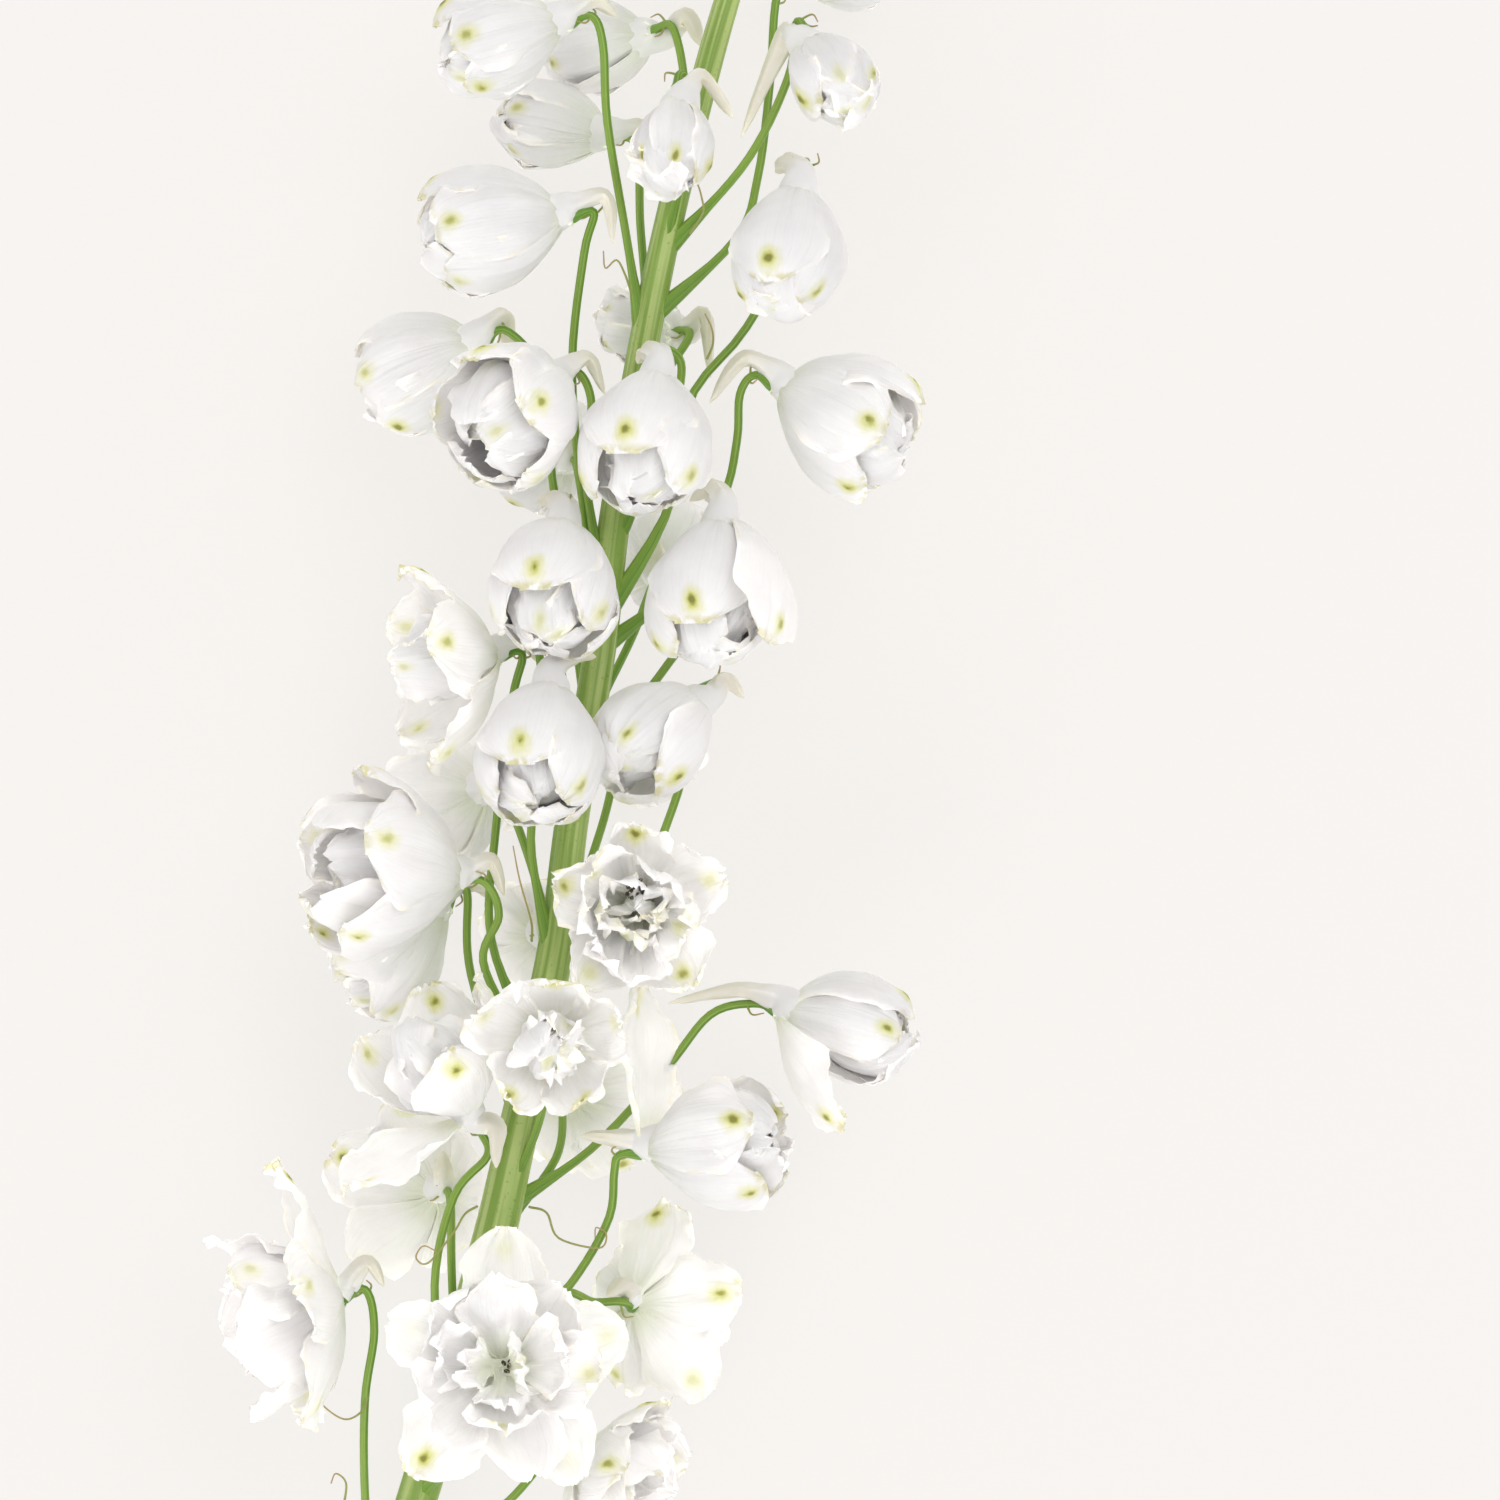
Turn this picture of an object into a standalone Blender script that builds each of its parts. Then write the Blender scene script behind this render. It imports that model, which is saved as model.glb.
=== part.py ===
"""A cut spike of white delphinium, lying on a surface.

The green stem and its pedicels are one grown body. Every bloom is a body of its own, seated on the
end of its pedicel: five broad sepals round a small receptacle, one of them drawn out behind into a
spur, and in the fuller blooms one or two whorls of inner petals.

Lengths in the tables are millimetres in the spike's own frame: x across it, y along it towards the
tip, z above the middle of the stem. The last step moves everything so that the surface is z = 0
and the middle of the spike's outline is x = y = 0.
"""

import math
from collections import namedtuple

import bmesh
import bpy
from mathutils import Matrix, Vector

MM = 0.001

# Where the surface lies below the middle of the stem, and the middle of the outline.
SURFACE_DEPTH = 44.0
OUTLINE_MIDDLE = (-36.3, 5.2)

# Stem: points of its centre line with its radius there, from the cut end to the tip.
StemPoint = namedtuple("StemPoint", "x y z radius")
STEM_LINE = [
    StemPoint(-93, -232, -39.7, 4.4),
    StemPoint(-85, -205, -31, 4.3),
    StemPoint(-76, -178, -21, 4.2),
    StemPoint(-66.5, -149, -12, 4.1),
    StemPoint(-53, -104, -3, 4.3),
    StemPoint(-48, -84, 0, 4.1),
    StemPoint(-39, -41, 1, 3.7),
    StemPoint(-35.5, -14, 1, 3.4),
    StemPoint(-30, 20, 0, 3.3),
    StemPoint(-27, 46, 0, 3.2),
    StemPoint(-21.4, 80, 0, 3.1),
    StemPoint(-15.6, 108, 0, 2.9),
    StemPoint(-8, 138, 0, 2.7),
    StemPoint(0, 166, 0, 2.3),
    StemPoint(6, 192, 0, 1.8),
    StemPoint(10, 216, 1, 1.4),
    StemPoint(13, 238, 2, 1.0),
]
STEM_SIDES = 8
STEM_RINGS = 20
PEDICEL_SIDES = 4
PEDICEL_RADIUS = 0.95
PEDICEL_ROOT_RADIUS = 1.3
PEDICEL_END_RADIUS = 1.5
PEDICEL_RUN_IN = 3.0
SEAT_GAP = 0.3

# Petals. Every blade is pointed at both ends. Between them it has one row at the end of its claw
# and these rows: a share of its length, and the share of its full width that it has there.
BLADE_THICKNESS = 1.0
SEPAL_COUNT = 5
SEPAL_WIDTH = 0.74
SEPAL_ROWS = ((0.5, 0.92), (0.8, 0.8))
INNER_ROWS = ((0.75, 0.95),)
CLAW_LENGTH, CLAW_WIDTH = 7.4, 6.0
BASE_ANGLE_CLOSED, BASE_ANGLE_OPEN = 42.0, 92.0
TIP_ANGLE_CLOSED, TIP_ANGLE_OPEN = -72.0, 86.0
TURNS_IN_LATE_CLOSED, TURNS_IN_LATE_OPEN = 1.8, 1.0
ROOT_RADIUS, ROOT_HEIGHT = -1.2, 1.4
OVERLAP = 1.8
MOST_ARC = 0.92
SMALLEST_WRAP = 3.4
MIDRIB_STEPS = 24
WHORL_STEP = 1.5
WHORL_LENGTHS = (1.0, 0.8, 0.58)
WHORL_CLOSING = 0.2
INNER_LEAST_OPEN = 0.1
INNERMOST_COUNT = 3
RECEPTACLE_HEIGHT = 4.2
RECEPTACLE_RADIUS, RECEPTACLE_BASE_RADIUS = 2.7, 2.16

# Spur: its first two points, inside the bloom and where it leaves it beside the pedicel. Each has
# its distance from the bloom's axis and its height above the seat.
SPUR_START = ((2.8, 5.4), (4.3, 0.6))
SPUR_RADII = (1.7, 2.0, 1.5, 0.7)
SPUR_SIDES = 4

# One bloom: where it sits, which way its mouth faces, which side its spur is on, the length of its
# sepals, how far it is open (0 a closed bud, 1 flat), how many inner whorls it has, the height on
# the stem where its pedicel starts, the points that the pedicel passes, and where its spur bends
# and ends, from its seat. A loose sepal is open by a number of its own; they are counted round the
# bloom from the one with the spur.
Bloom = namedtuple(
    "Bloom", "name seat facing spur_side sepal open whorls root via spur loose", defaults=({},))
UP = (0, 1, 0)
RIGHT = (1, 0, 0)
LEFT = (-1, 0, 0)

BLOOMS = [
    # Upper part, where the blooms are still cups.
    Bloom("bloom_top_left", (-34.4, 145, 10), (-0.93, -0.3, 0.2), UP, 31, 0.16, 0,
          81, [(-24.6, 102, 2), (-28.4, 125, 6), (-29.2, 140, 10)],
          ((3.5, 4, -2), (8, 1, -4))),
    Bloom("bloom_top_behind", (-18, 145, -14), (-0.85, -0.12, -0.5), RIGHT, 30, 0.13, 0,
          104, [(-13, 128, -9)],
          ((5, 3, 0), (8, -3, 1))),
    Bloom("bloom_second_left", (-26, 122.6, -13), (-0.97, 0.2, -0.15), UP, 28, 0.14, 0,
          86, [(-22, 105, -7)],
          ((4, 3, -2), (7, 0, -4))),
    Bloom("bloom_top_front", (-14.4, 131.6, 12), (-0.1, -0.83, 0.55), RIGHT, 28, 0.05, 0,
          98, [(-13, 118, 5), (-12.5, 132, 8)],
          ((5, 2, -1), (11, -6, -2))),
    Bloom("bloom_top_right", (10.6, 143, 8), (0.42, -0.66, 0.62), LEFT, 28, 0.08, 0,
          99, [(-1, 117, 4), (7.6, 134, 5)],
          ((-4, -2, -2), (-12.4, -21, -4))),
    Bloom("bloom_top_right_behind", (8, 153, -9), (0.8, 0.3, -0.5), UP, 28, 0.12, 0,
          86, [(-3, 102, 0), (1.6, 115, -3), (4, 134, -8)],
          ((-4, 3, -2), (-8, 0, -4))),
    Bloom("bloom_left_cup", (-34, 106.4, 10), (-0.95, -0.2, 0.22), UP, 36, 0.19, 0,
          22, [(-34, 54, -1), (-35.6, 78, -2), (-33, 99, 7)],
          ((5.4, 3.4, 0), (6.8, -6, 1))),
    Bloom("bloom_right_hanging", (10.6, 114, 14), (-0.15, -0.87, 0.48), UP, 38, 0.06, 0,
          26, [(-16.4, 48, 2), (-12, 70, 1), (-1, 84, 1), (9, 102, 4), (11, 114, 10)],
          ((-3.6, 2.4, -2), (-5, 1, -7))),
    Bloom("bloom_left_behind", (-51.6, 83, -8), (-0.85, -0.42, -0.25), UP, 32, 0.20, 0,
          8, [(-39.4, 52, -8), (-42, 75, -10)],
          ((2, 4, -2), (3, -3, -5))),
    Bloom("bloom_left_open_cup", (-36, 74, 7), (-0.58, -0.42, 0.7), UP, 35, 0.28, 1,
          30, [(-33, 56, 3), (-31.6, 69, 5)],
          ((3.6, 4, -1), (7, -3, -2))),
    Bloom("bloom_centre_cup", (-17.4, 77, 12.6), (-0.14, -0.85, 0.5), UP, 38, 0.16, 1,
          40, [(-17, 62, 5), (-13.6, 76, 8)],
          ((-3, 2.4, -3), (-5, 0, -7))),
    Bloom("bloom_right_cup", (3.6, 73.4, 6), (0.84, -0.46, 0.3), UP, 36, 0.22, 1,
          20, [(-16, 32, -3), (-5.6, 50, -3), (-2.6, 62, 0), (-2, 71, 3)],
          ((-5, 4.5, 0), (-11.6, -4.4, 1))),
    Bloom("bloom_upper_behind", (-14, 84, -12), (-0.6, 0.15, -0.75), RIGHT, 25, 0.12, 0,
          60, [(-18, 74, -8)],
          ((5, 3, 1), (6, -9, 3))),
    Bloom("bloom_front_cup", (-36.4, 47.5, 11), (-0.12, -0.82, 0.56), UP, 36, 0.19, 1,
          0, [(-42, 18, 2), (-38, 40, 3)],
          ((-3, 2.4, -2), (-6, 2, -5))),
    Bloom("bloom_right_hanging_low", (-5, 48.4, 12), (-0.12, -0.87, 0.47), UP, 41, 0.07, 0,
          -5, [(-18, 15, 0), (-4, 36, 0), (-3, 47, 7)],
          ((-3, 3.6, -1), (-7, 1, -2)), {4: 0.3}),
    # Middle, where they open into doubles.
    Bloom("bloom_left_double_high", (-48.4, 19, 2), (-0.93, -0.1, 0.33), UP, 32, 0.50, 2,
          -60, [(-51.6, -38, 3), (-50.8, -16, 2), (-47.6, 10, -2)],
          ((4, 2, -3), (7, -2, -6))),
    Bloom("bloom_front_cup_low", (-38.6, 15.5, 14.4), (-0.14, -0.84, 0.52), (0.9, 0, -0.5),
          38, 0.14, 1, -43, [(-43.6, -16, 7), (-37, 6, 7)],
          ((4, 3.4, -2), (8, 3, -4))),
    Bloom("bloom_right_cup_low", (-8.8, 12, 2), (-0.62, -0.5, 0.6), RIGHT, 36, 0.10, 0,
          -45, [(-22, -25, 0), (-15.6, -12, -1), (-10, 7, -2)],
          ((4, 2, 0), (7.6, -1.6, 0.6))),
    Bloom("bloom_left_double", (-55.4, -26, 9), (-0.9, 0.12, 0.42), UP, 38, 0.34, 1,
          -62, [(-53, -43, 6), (-50, -33, 7)],
          ((4, 4, -1), (6.4, -3, -2))),
    Bloom("bloom_right_double", (-22.5, -30, 18), (0.05, -0.08, 0.99), UP, 24, 0.66, 2,
          -60, [(-30, -43, 8)],
          ((1, 3, -5), (3, 2, -9))),
    Bloom("bloom_left_lower_cup", (-59.5, -30, -10), (-0.76, -0.58, -0.08), UP, 32, 0.30, 1,
          -75, [(-56, -45, -5)],
          ((4, 3, -2), (7, 0, -5))),
    Bloom("bloom_left_double_low", (-55, -74, 6.6), (-0.47, 0.75, 0.38), (0.3, 0, 1), 33, 0.42, 2,
          -130, [(-63, -107, 2), (-59, -89, 5), (-52.4, -81, 5)],
          ((4.4, -1, 4), (4.6, -9, 4)), {4: 0.9}),
    Bloom("bloom_front_double", (-39, -57, 19), (0, -0.1, 0.99), UP, 24, 0.52, 2,
          -92, [(-42, -74, 7)],
          ((1, 3, -5), (2, 2, -9))),
    Bloom("bloom_right_bud_low", (3.6, -51.4, 2), (0.95, -0.25, 0.18), UP, 33, 0.10, 0,
          -92, [(-32, -80, 0), (-17, -64, 0), (-8, -53, 0)],
          ((-7, 3.4, 0), (-20, 0.8, 0)), {2: 0.55}),
    Bloom("bloom_right_open_cup", (-23, -80, 10), (0.93, 0.14, 0.34), UP, 35, 0.24, 1,
          -128, [(-40.4, -111, 4), (-34, -104, 5), (-28, -93, 6), (-27, -84, 7)],
          ((-4.6, 3, 1), (-10.6, 3.4, 1)), {0: 0.9}),
    # Lower part, where they are fully open.
    Bloom("bloom_far_left_open", (-79.6, -108.6, 4), (-0.87, -0.3, 0.38), UP, 33, 0.72, 2,
          -178, [(-77.4, -150, -8), (-77, -130, 0), (-75, -116, 3)],
          ((3.4, 6.4, 0), (6.6, 1.6, 0.5)), {0: 0.95}),
    Bloom("bloom_front_open", (-49, -122, 17), (0.02, 0.06, 0.99), UP, 29, 0.95, 2,
          -150, [(-56, -138, 8)],
          ((0, 3.6, -5), (0, 4, -10))),
    Bloom("bloom_right_turned_away", (-24.6, -111, -4), (0.5, -0.2, -0.84), UP, 25, 0.70, 1,
          -135, [(-41, -110, 0), (-31, -110.6, -2)],
          ((-1, 4, 4), (-4, 2, 7))),
    Bloom("bloom_right_lowest", (-36, -141, -4), (0.75, -0.35, 0.3), UP, 27, 0.66, 1,
          -168, [(-50, -152, -4)],
          ((-4, 3.4, -1), (-8, 1, -2))),
    # Back, which the spike lies on.
    Bloom("bloom_back_upper", (-36, 58, -12), (-0.3, 0.1, -0.95), UP, 28, 0.30, 0,
          25, [(-33, 46, -7)],
          ((0, 5, 1), (0, 9, 2))),
    Bloom("bloom_back_right_upper", (-19, 34, -12), (0.2, 0.2, -0.95), UP, 28, 0.30, 0,
          5, [(-24, 22, -7)],
          ((0, 5, 1), (0, 9, 2))),
    Bloom("bloom_back_left_middle", (-52, -8, -10), (-0.5, -0.2, -0.8), UP, 29, 0.35, 0,
          -40, [(-45, -20, -7)],
          ((0, 5, 1), (0, 9, 2))),
    Bloom("bloom_back_right_middle", (-26, -2, -12), (0.25, 0.1, -0.95), UP, 27, 0.32, 0,
          -45, [(-30, -16, -8)],
          ((0, 5, 1), (0, 9, 2))),
    Bloom("bloom_back_middle", (-42, -38, -13), (0.0, 0.0, -1.0), UP, 28, 0.40, 0,
          -62, [(-42, -50, -8)],
          ((0, 5, 1), (0, 9, 2))),
    Bloom("bloom_back_right_low", (-37, -70, -12), (0.3, -0.1, -0.93), UP, 28, 0.45, 0,
          -98, [(-39, -82, -7)],
          ((0, 5, 1), (0, 9, 2))),
    Bloom("bloom_back_left_low", (-62, -90, -10), (-0.45, 0.0, -0.88), UP, 29, 0.50, 0,
          -125, [(-60, -104, -8)],
          ((0, 5, 1), (0, 9, 2))),
]

# Small closed buds up the last stretch of the stem, each a golden angle round from the one below.
BUD_COUNT = 14
BUD_LOWEST, BUD_HIGHEST = 152.0, 238.0
BUD_LENGTH_LOW, BUD_LENGTH_HIGH = 21.0, 5.5
BUD_SHRINKING = 0.8
BUD_PEDICEL_LOW, BUD_PEDICEL_HIGH = 17.0, 2.5
BUD_PEDICEL_RADIUS_LOW, BUD_PEDICEL_RADIUS_HIGH = 0.8, 0.45
BUD_PEDICEL_RISE = 0.75
BUD_PEDICEL_SAG = 1.0
BUD_RUN_IN = 0.8
BUD_CLEARANCE = 2.0
BUD_LEAN_LOW, BUD_LEAN_HIGH = -0.1, 1.2
GOLDEN_ANGLE = math.radians(137.5)
FIRST_BUD_ANGLE = math.radians(130)

# Bud: shares of its length for its radius and its spur, and how much slimmer its tip is. Its spur's
# points have their distance from the axis as a share of that radius, and a height.
BUD_GIRTH, BUD_TAPER = 0.31, 0.18
BUD_SPUR_POINTS = ((0.5, 0.3), (0.9, 0.0), (0.75, -0.38))
BUD_SPUR_RADII = (0.08, 0.09, 0.04)

# Edges that are sharper than this stay sharp in the shading.
SHARP_ANGLE = math.radians(50)

PETAL_WHITE = (0.88, 0.88, 0.85, 1.0)
STEM_GREEN = (0.29, 0.43, 0.12, 1.0)


def clear_scene():
    for item in list(bpy.data.objects):
        bpy.data.objects.remove(item)


def material(name, colour, roughness):
    made = bpy.data.materials.new(name)
    made.use_nodes = True
    shader = made.node_tree.nodes["Principled BSDF"]
    shader.inputs["Base Color"].default_value = colour
    shader.inputs["Roughness"].default_value = roughness
    shader.inputs["Metallic"].default_value = 0.0
    return made


def mix(low, high, share):
    return low + (high - low) * share


def through(points, share):
    """A point of the smooth curve through the points, at a share of its run from 0 to 1."""
    last = len(points) - 1
    place = min(max(share, 0.0), 1.0) * last
    first = min(int(place), last - 1)
    t = place - first
    b, c = points[first], points[first + 1]
    a = points[first - 1] if first > 0 else b * 2 - c
    d = points[first + 2] if first + 2 <= last else c * 2 - b
    return 0.5 * (b * 2 + (c - a) * t + (a * 2 - b * 5 + c * 4 - d) * t**2
                  + (b * 3 - a - c * 3 + d) * t**3)


STEM_ROUTE = [Vector((p.x, p.y, p.z)) for p in STEM_LINE]
STEM_RADII = [Vector((p.radius, 0, 0)) for p in STEM_LINE]


def stem_at(height):
    """The middle of the stem at a height along the spike."""
    low, high = 0.0, 1.0
    for _ in range(30):
        middle = (low + high) / 2
        if through(STEM_ROUTE, middle).y < height:
            low = middle
        else:
            high = middle
    return through(STEM_ROUTE, low)


def swept_tube(route, radii, sides):
    """A closed tube of that many sides along the route, in millimetres."""
    bm = bmesh.new()
    placings = []
    start = (route[1] - route[0]).normalized()
    side = Vector((0, 0, 1)) if abs(start.z) < 0.9 else Vector((0, 1, 0))
    for i, point in enumerate(route):
        ahead = route[min(i + 1, len(route) - 1)] - route[max(i - 1, 0)]
        ahead.normalize()
        side = (side - ahead * side.dot(ahead)).normalized()
        across = ahead.cross(side)
        turn = Matrix((side, across, ahead)).transposed().to_4x4()
        placings.append(Matrix.Translation(point) @ turn @ Matrix.Scale(radii[i], 4))
    bmesh.ops.create_circle(bm, cap_ends=True, segments=sides, radius=1.0)
    bm.faces.ensure_lookup_table()
    cap = bm.faces[0]
    bmesh.ops.transform(bm, matrix=placings[0], verts=bm.verts[:])
    for i, (here, after) in enumerate(zip(placings, placings[1:])):
        made = bmesh.ops.extrude_face_region(bm, geom=[cap])["geom"]
        moved = [item for item in made if isinstance(item, bmesh.types.BMVert)]
        if i > 0:
            bm.faces.remove(cap)
        cap = next(item for item in made if isinstance(item, bmesh.types.BMFace))
        bmesh.ops.transform(bm, matrix=after @ here.inverted(), verts=moved)
    bmesh.ops.recalc_face_normals(bm, faces=bm.faces[:])
    bmesh.ops.triangulate(bm, faces=bm.faces[:])
    return bm


def petal_surface(length, width, opened, azimuth, height):
    """The middle surface of one petal of a bloom that faces +Z, as a function of s across it
    (-1 to 1), t along it (0 to 1) and the share of its full width there. The angles are those
    of its midrib away from the bloom's axis. Each petal lies over one neighbour and under the
    other."""
    base_angle = mix(BASE_ANGLE_CLOSED, BASE_ANGLE_OPEN, opened)
    tip_angle = mix(TIP_ANGLE_CLOSED, TIP_ANGLE_OPEN, opened)
    late = mix(TURNS_IN_LATE_CLOSED, TURNS_IN_LATE_OPEN, opened)
    radius = ROOT_RADIUS
    midrib = [(radius, height)]

    def angle_at(t):
        return math.radians(mix(base_angle, tip_angle, t**late))

    for i in range(MIDRIB_STEPS):
        angle = angle_at((i + 0.5) / MIDRIB_STEPS)
        radius += math.sin(angle) * length / MIDRIB_STEPS
        height += math.cos(angle) * length / MIDRIB_STEPS
        midrib.append((radius, height))
    turn = Matrix.Rotation(azimuth, 3, "Z")

    def at(s, t, share):
        place = t * MIDRIB_STEPS
        i = min(int(place), MIDRIB_STEPS - 1)
        r = mix(midrib[i][0], midrib[i + 1][0], place - i)
        h = mix(midrib[i][1], midrib[i + 1][1], place - i)
        angle = angle_at(t)
        wrap = max(r, SMALLEST_WRAP)
        arc = s * min(MOST_ARC, share * width / 2 / wrap)
        inward = wrap * (1 - math.cos(arc)) - OVERLAP * s * min(1.0, 2 * share)
        r -= inward * math.cos(angle)
        h += inward * math.sin(angle)
        return turn @ Vector((r, wrap * math.sin(arc), h))

    return at


def blade(surface, rows):
    """A closed thin blade round the surface, thickest along its middle and sharp at its rim."""
    bm = bmesh.new()
    last = len(rows) - 1
    bmesh.ops.create_grid(bm, x_segments=2, y_segments=last, size=1.0)
    for vert in bm.verts:
        t, share = rows[round((vert.co.y + 1) / 2 * last)]
        vert.co = surface(vert.co.x, t, share)
    bm.normal_update()
    inner = [v for v in bm.verts if not v.is_boundary]
    shifts = {v: v.normal * BLADE_THICKNESS / 2 for v in inner}
    for face in bm.faces[:]:
        corner = next(v for v in face.verts if not v.is_boundary)
        opposite = (face.verts[:].index(corner) + 2) % 4
        bmesh.utils.face_split(face, corner, face.verts[opposite])
    copied = bmesh.ops.duplicate(bm, geom=bm.verts[:] + bm.edges[:] + bm.faces[:])
    for vert, shift in shifts.items():
        copied["vert_map"][vert].co -= shift
        vert.co += shift
    back = [item for item in copied["geom"] if isinstance(item, bmesh.types.BMFace)]
    bmesh.ops.reverse_faces(bm, faces=back)
    bmesh.ops.remove_doubles(bm, verts=bm.verts[:], dist=0.01)
    bmesh.ops.recalc_face_normals(bm, faces=bm.faces[:])
    return bm


def receptacle(whorls):
    """The small knob that the petals grow from, flat where it sits on its pedicel."""
    bm = bmesh.new()
    height = RECEPTACLE_HEIGHT + WHORL_STEP * whorls
    bmesh.ops.create_cone(
        bm, cap_ends=True, segments=SEPAL_COUNT, radius1=RECEPTACLE_BASE_RADIUS,
        radius2=RECEPTACLE_RADIUS, depth=height, matrix=Matrix.Translation((0, 0, height / 2)))
    half_turn = Matrix.Rotation(math.pi / SEPAL_COUNT, 4, "Z")
    bmesh.ops.transform(bm, matrix=half_turn, verts=bm.verts[:])
    bmesh.ops.triangulate(bm, faces=bm.faces[:])
    return bm


def spur(bloom, placing):
    """The hollow tail that the uppermost sepal is drawn out into, behind the bloom."""
    turn = placing.to_3x3().inverted()
    bend, end = [turn @ Vector(point) for point in bloom.spur]
    start = [Vector((0, out, up)) for out, up in SPUR_START]
    return swept_tube(start + [bend, end], SPUR_RADII, SPUR_SIDES)


def bloom_frame(seat, facing, spur_side):
    """The placing of a bloom: its axis along facing, its uppermost sepal on the spur's side."""
    axis = Vector(facing).normalized()
    upper = Vector(spur_side)
    upper = (upper - axis * upper.dot(axis)).normalized()
    turn = Matrix((upper.cross(axis), upper, axis)).transposed().to_4x4()
    return Matrix.Translation(Vector(seat)) @ turn


def bloom_petals(bloom):
    """All petals of a bloom, as closed blades: the five sepals, then the inner whorls."""
    made = []
    for whorl in range(bloom.whorls + 1):
        count = SEPAL_COUNT if whorl < bloom.whorls or whorl == 0 else INNERMOST_COUNT
        length = bloom.sepal * WHORL_LENGTHS[whorl]
        width = length * SEPAL_WIDTH
        rows = SEPAL_ROWS if whorl == 0 else INNER_ROWS
        for i in range(count):
            if whorl == 0:
                opened = bloom.loose.get(i, bloom.open)
            else:
                opened = max(INNER_LEAST_OPEN, bloom.open - WHORL_CLOSING * whorl)
            azimuth = math.pi / 2 + (i + 0.5 * whorl) * 2 * math.pi / count
            height = ROOT_HEIGHT + WHORL_STEP * whorl
            surface = petal_surface(length, width, opened, azimuth, height)
            claw = (CLAW_LENGTH / length, CLAW_WIDTH / width)
            made.append(blade(surface, ((0, 0), claw) + rows + ((1, 0),)))
    return made


def new_object(name, bm, placing, finish):
    """An object from a bmesh in millimetres, placed in the spike's frame."""
    mesh = bpy.data.meshes.new(name)
    bm.transform(placing)
    bm.to_mesh(mesh)
    bm.free()
    mesh.materials.append(finish)
    made = bpy.data.objects.new(name, mesh)
    bpy.context.scene.collection.objects.link(made)
    return made


def joined(body, others, solver="EXACT"):
    """Unites the others with the body, and removes them."""
    group = bpy.data.collections.new(body.name + "_pieces")
    bpy.context.scene.collection.children.link(group)
    for other in others:
        group.objects.link(other)
    union = body.modifiers.new("union", "BOOLEAN")
    union.operation = "UNION"
    union.operand_type = "COLLECTION"
    union.collection = group
    union.solver = solver
    bpy.context.view_layer.update()
    graph = bpy.context.evaluated_depsgraph_get()
    mesh = bpy.data.meshes.new_from_object(body.evaluated_get(graph))
    body.modifiers.clear()
    old = body.data
    body.data = mesh
    bpy.data.meshes.remove(old)
    for other in others:
        bpy.data.objects.remove(other)
    bpy.data.collections.remove(group)
    return body


def rest_height(placing, parts):
    """How far the lowest point of the parts is above the surface."""
    lowest = min((placing @ v.co).z for bm in parts for v in bm.verts)
    return lowest + SURFACE_DEPTH


def make_bloom(bloom, finish):
    """One bloom as a single body. A bloom of the back is lowered until it rests."""
    placing = bloom_frame(bloom.seat, bloom.facing, bloom.spur_side)
    parts = [spur(bloom, placing)] + bloom_petals(bloom)
    core = receptacle(bloom.whorls)
    if bloom.name.startswith("bloom_back"):
        drop = rest_height(placing, parts)
        placing = Matrix.Translation((0, 0, -drop)) @ placing
    body = new_object(bloom.name, core, placing, finish)
    others = [new_object(f"{bloom.name}_{i}", part, placing, finish)
              for i, part in enumerate(parts)]
    return joined(body, others), placing


def pedicel_route(bloom, placing):
    """From the middle of the stem, past the points given, into the back of the bloom."""
    seat, axis = placing.translation, placing.to_3x3().col[2]
    end = seat - axis * SEAT_GAP
    route = [stem_at(bloom.root)] + [Vector(p) for p in bloom.via]
    route.append(end - axis * PEDICEL_RUN_IN)
    count = 1 + len(bloom.via) * 3 // 2
    return [through(route, i / count) for i in range(count + 1)] + [end]


def pedicel(bloom, placing):
    route = pedicel_route(bloom, placing)
    between = [PEDICEL_RADIUS] * (len(route) - 2)
    radii = [PEDICEL_ROOT_RADIUS] + between + [PEDICEL_END_RADIUS]
    return swept_tube(route, radii, PEDICEL_SIDES)


def bud_shapes():
    """The placing, length and stem height of each small bud of the tip."""
    for i in range(BUD_COUNT):
        share = i / (BUD_COUNT - 1)
        height = mix(BUD_LOWEST, BUD_HIGHEST, share)
        length = mix(BUD_LENGTH_LOW, BUD_LENGTH_HIGH, share**BUD_SHRINKING)
        angle = FIRST_BUD_ANGLE + i * GOLDEN_ANGLE
        outward = Vector((math.cos(angle), 0, math.sin(angle)))
        stalk = mix(BUD_PEDICEL_LOW, BUD_PEDICEL_HIGH, share)
        rise = stalk * BUD_PEDICEL_RISE
        seat = stem_at(height) + outward * (rise + BUD_CLEARANCE) + Vector((0, rise, 0))
        facing = outward + Vector((0, mix(BUD_LEAN_LOW, BUD_LEAN_HIGH, share), 0))
        yield bloom_frame(seat, facing, (0, 1, 0)), length, height


def make_bud(name, placing, length, finish):
    """A closed bud: a ribbed egg with five sides and a short spur."""
    bm = bmesh.new()
    bmesh.ops.create_uvsphere(bm, u_segments=5, v_segments=4, radius=1.0)
    girth = BUD_GIRTH * length
    for vert in bm.verts:
        around = girth * (1 - BUD_TAPER * vert.co.z)
        vert.co = Vector((vert.co.x * around, vert.co.y * around, (vert.co.z + 1) * length / 2))
    bmesh.ops.triangulate(bm, faces=bm.faces[:])
    route = [Vector((0, out * girth, up * length)) for out, up in BUD_SPUR_POINTS]
    tail = swept_tube(route, [share * length for share in BUD_SPUR_RADII], SPUR_SIDES)
    body = new_object(name, bm, placing, finish)
    return joined(body, [new_object(name + "_spur", tail, placing, finish)])


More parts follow.
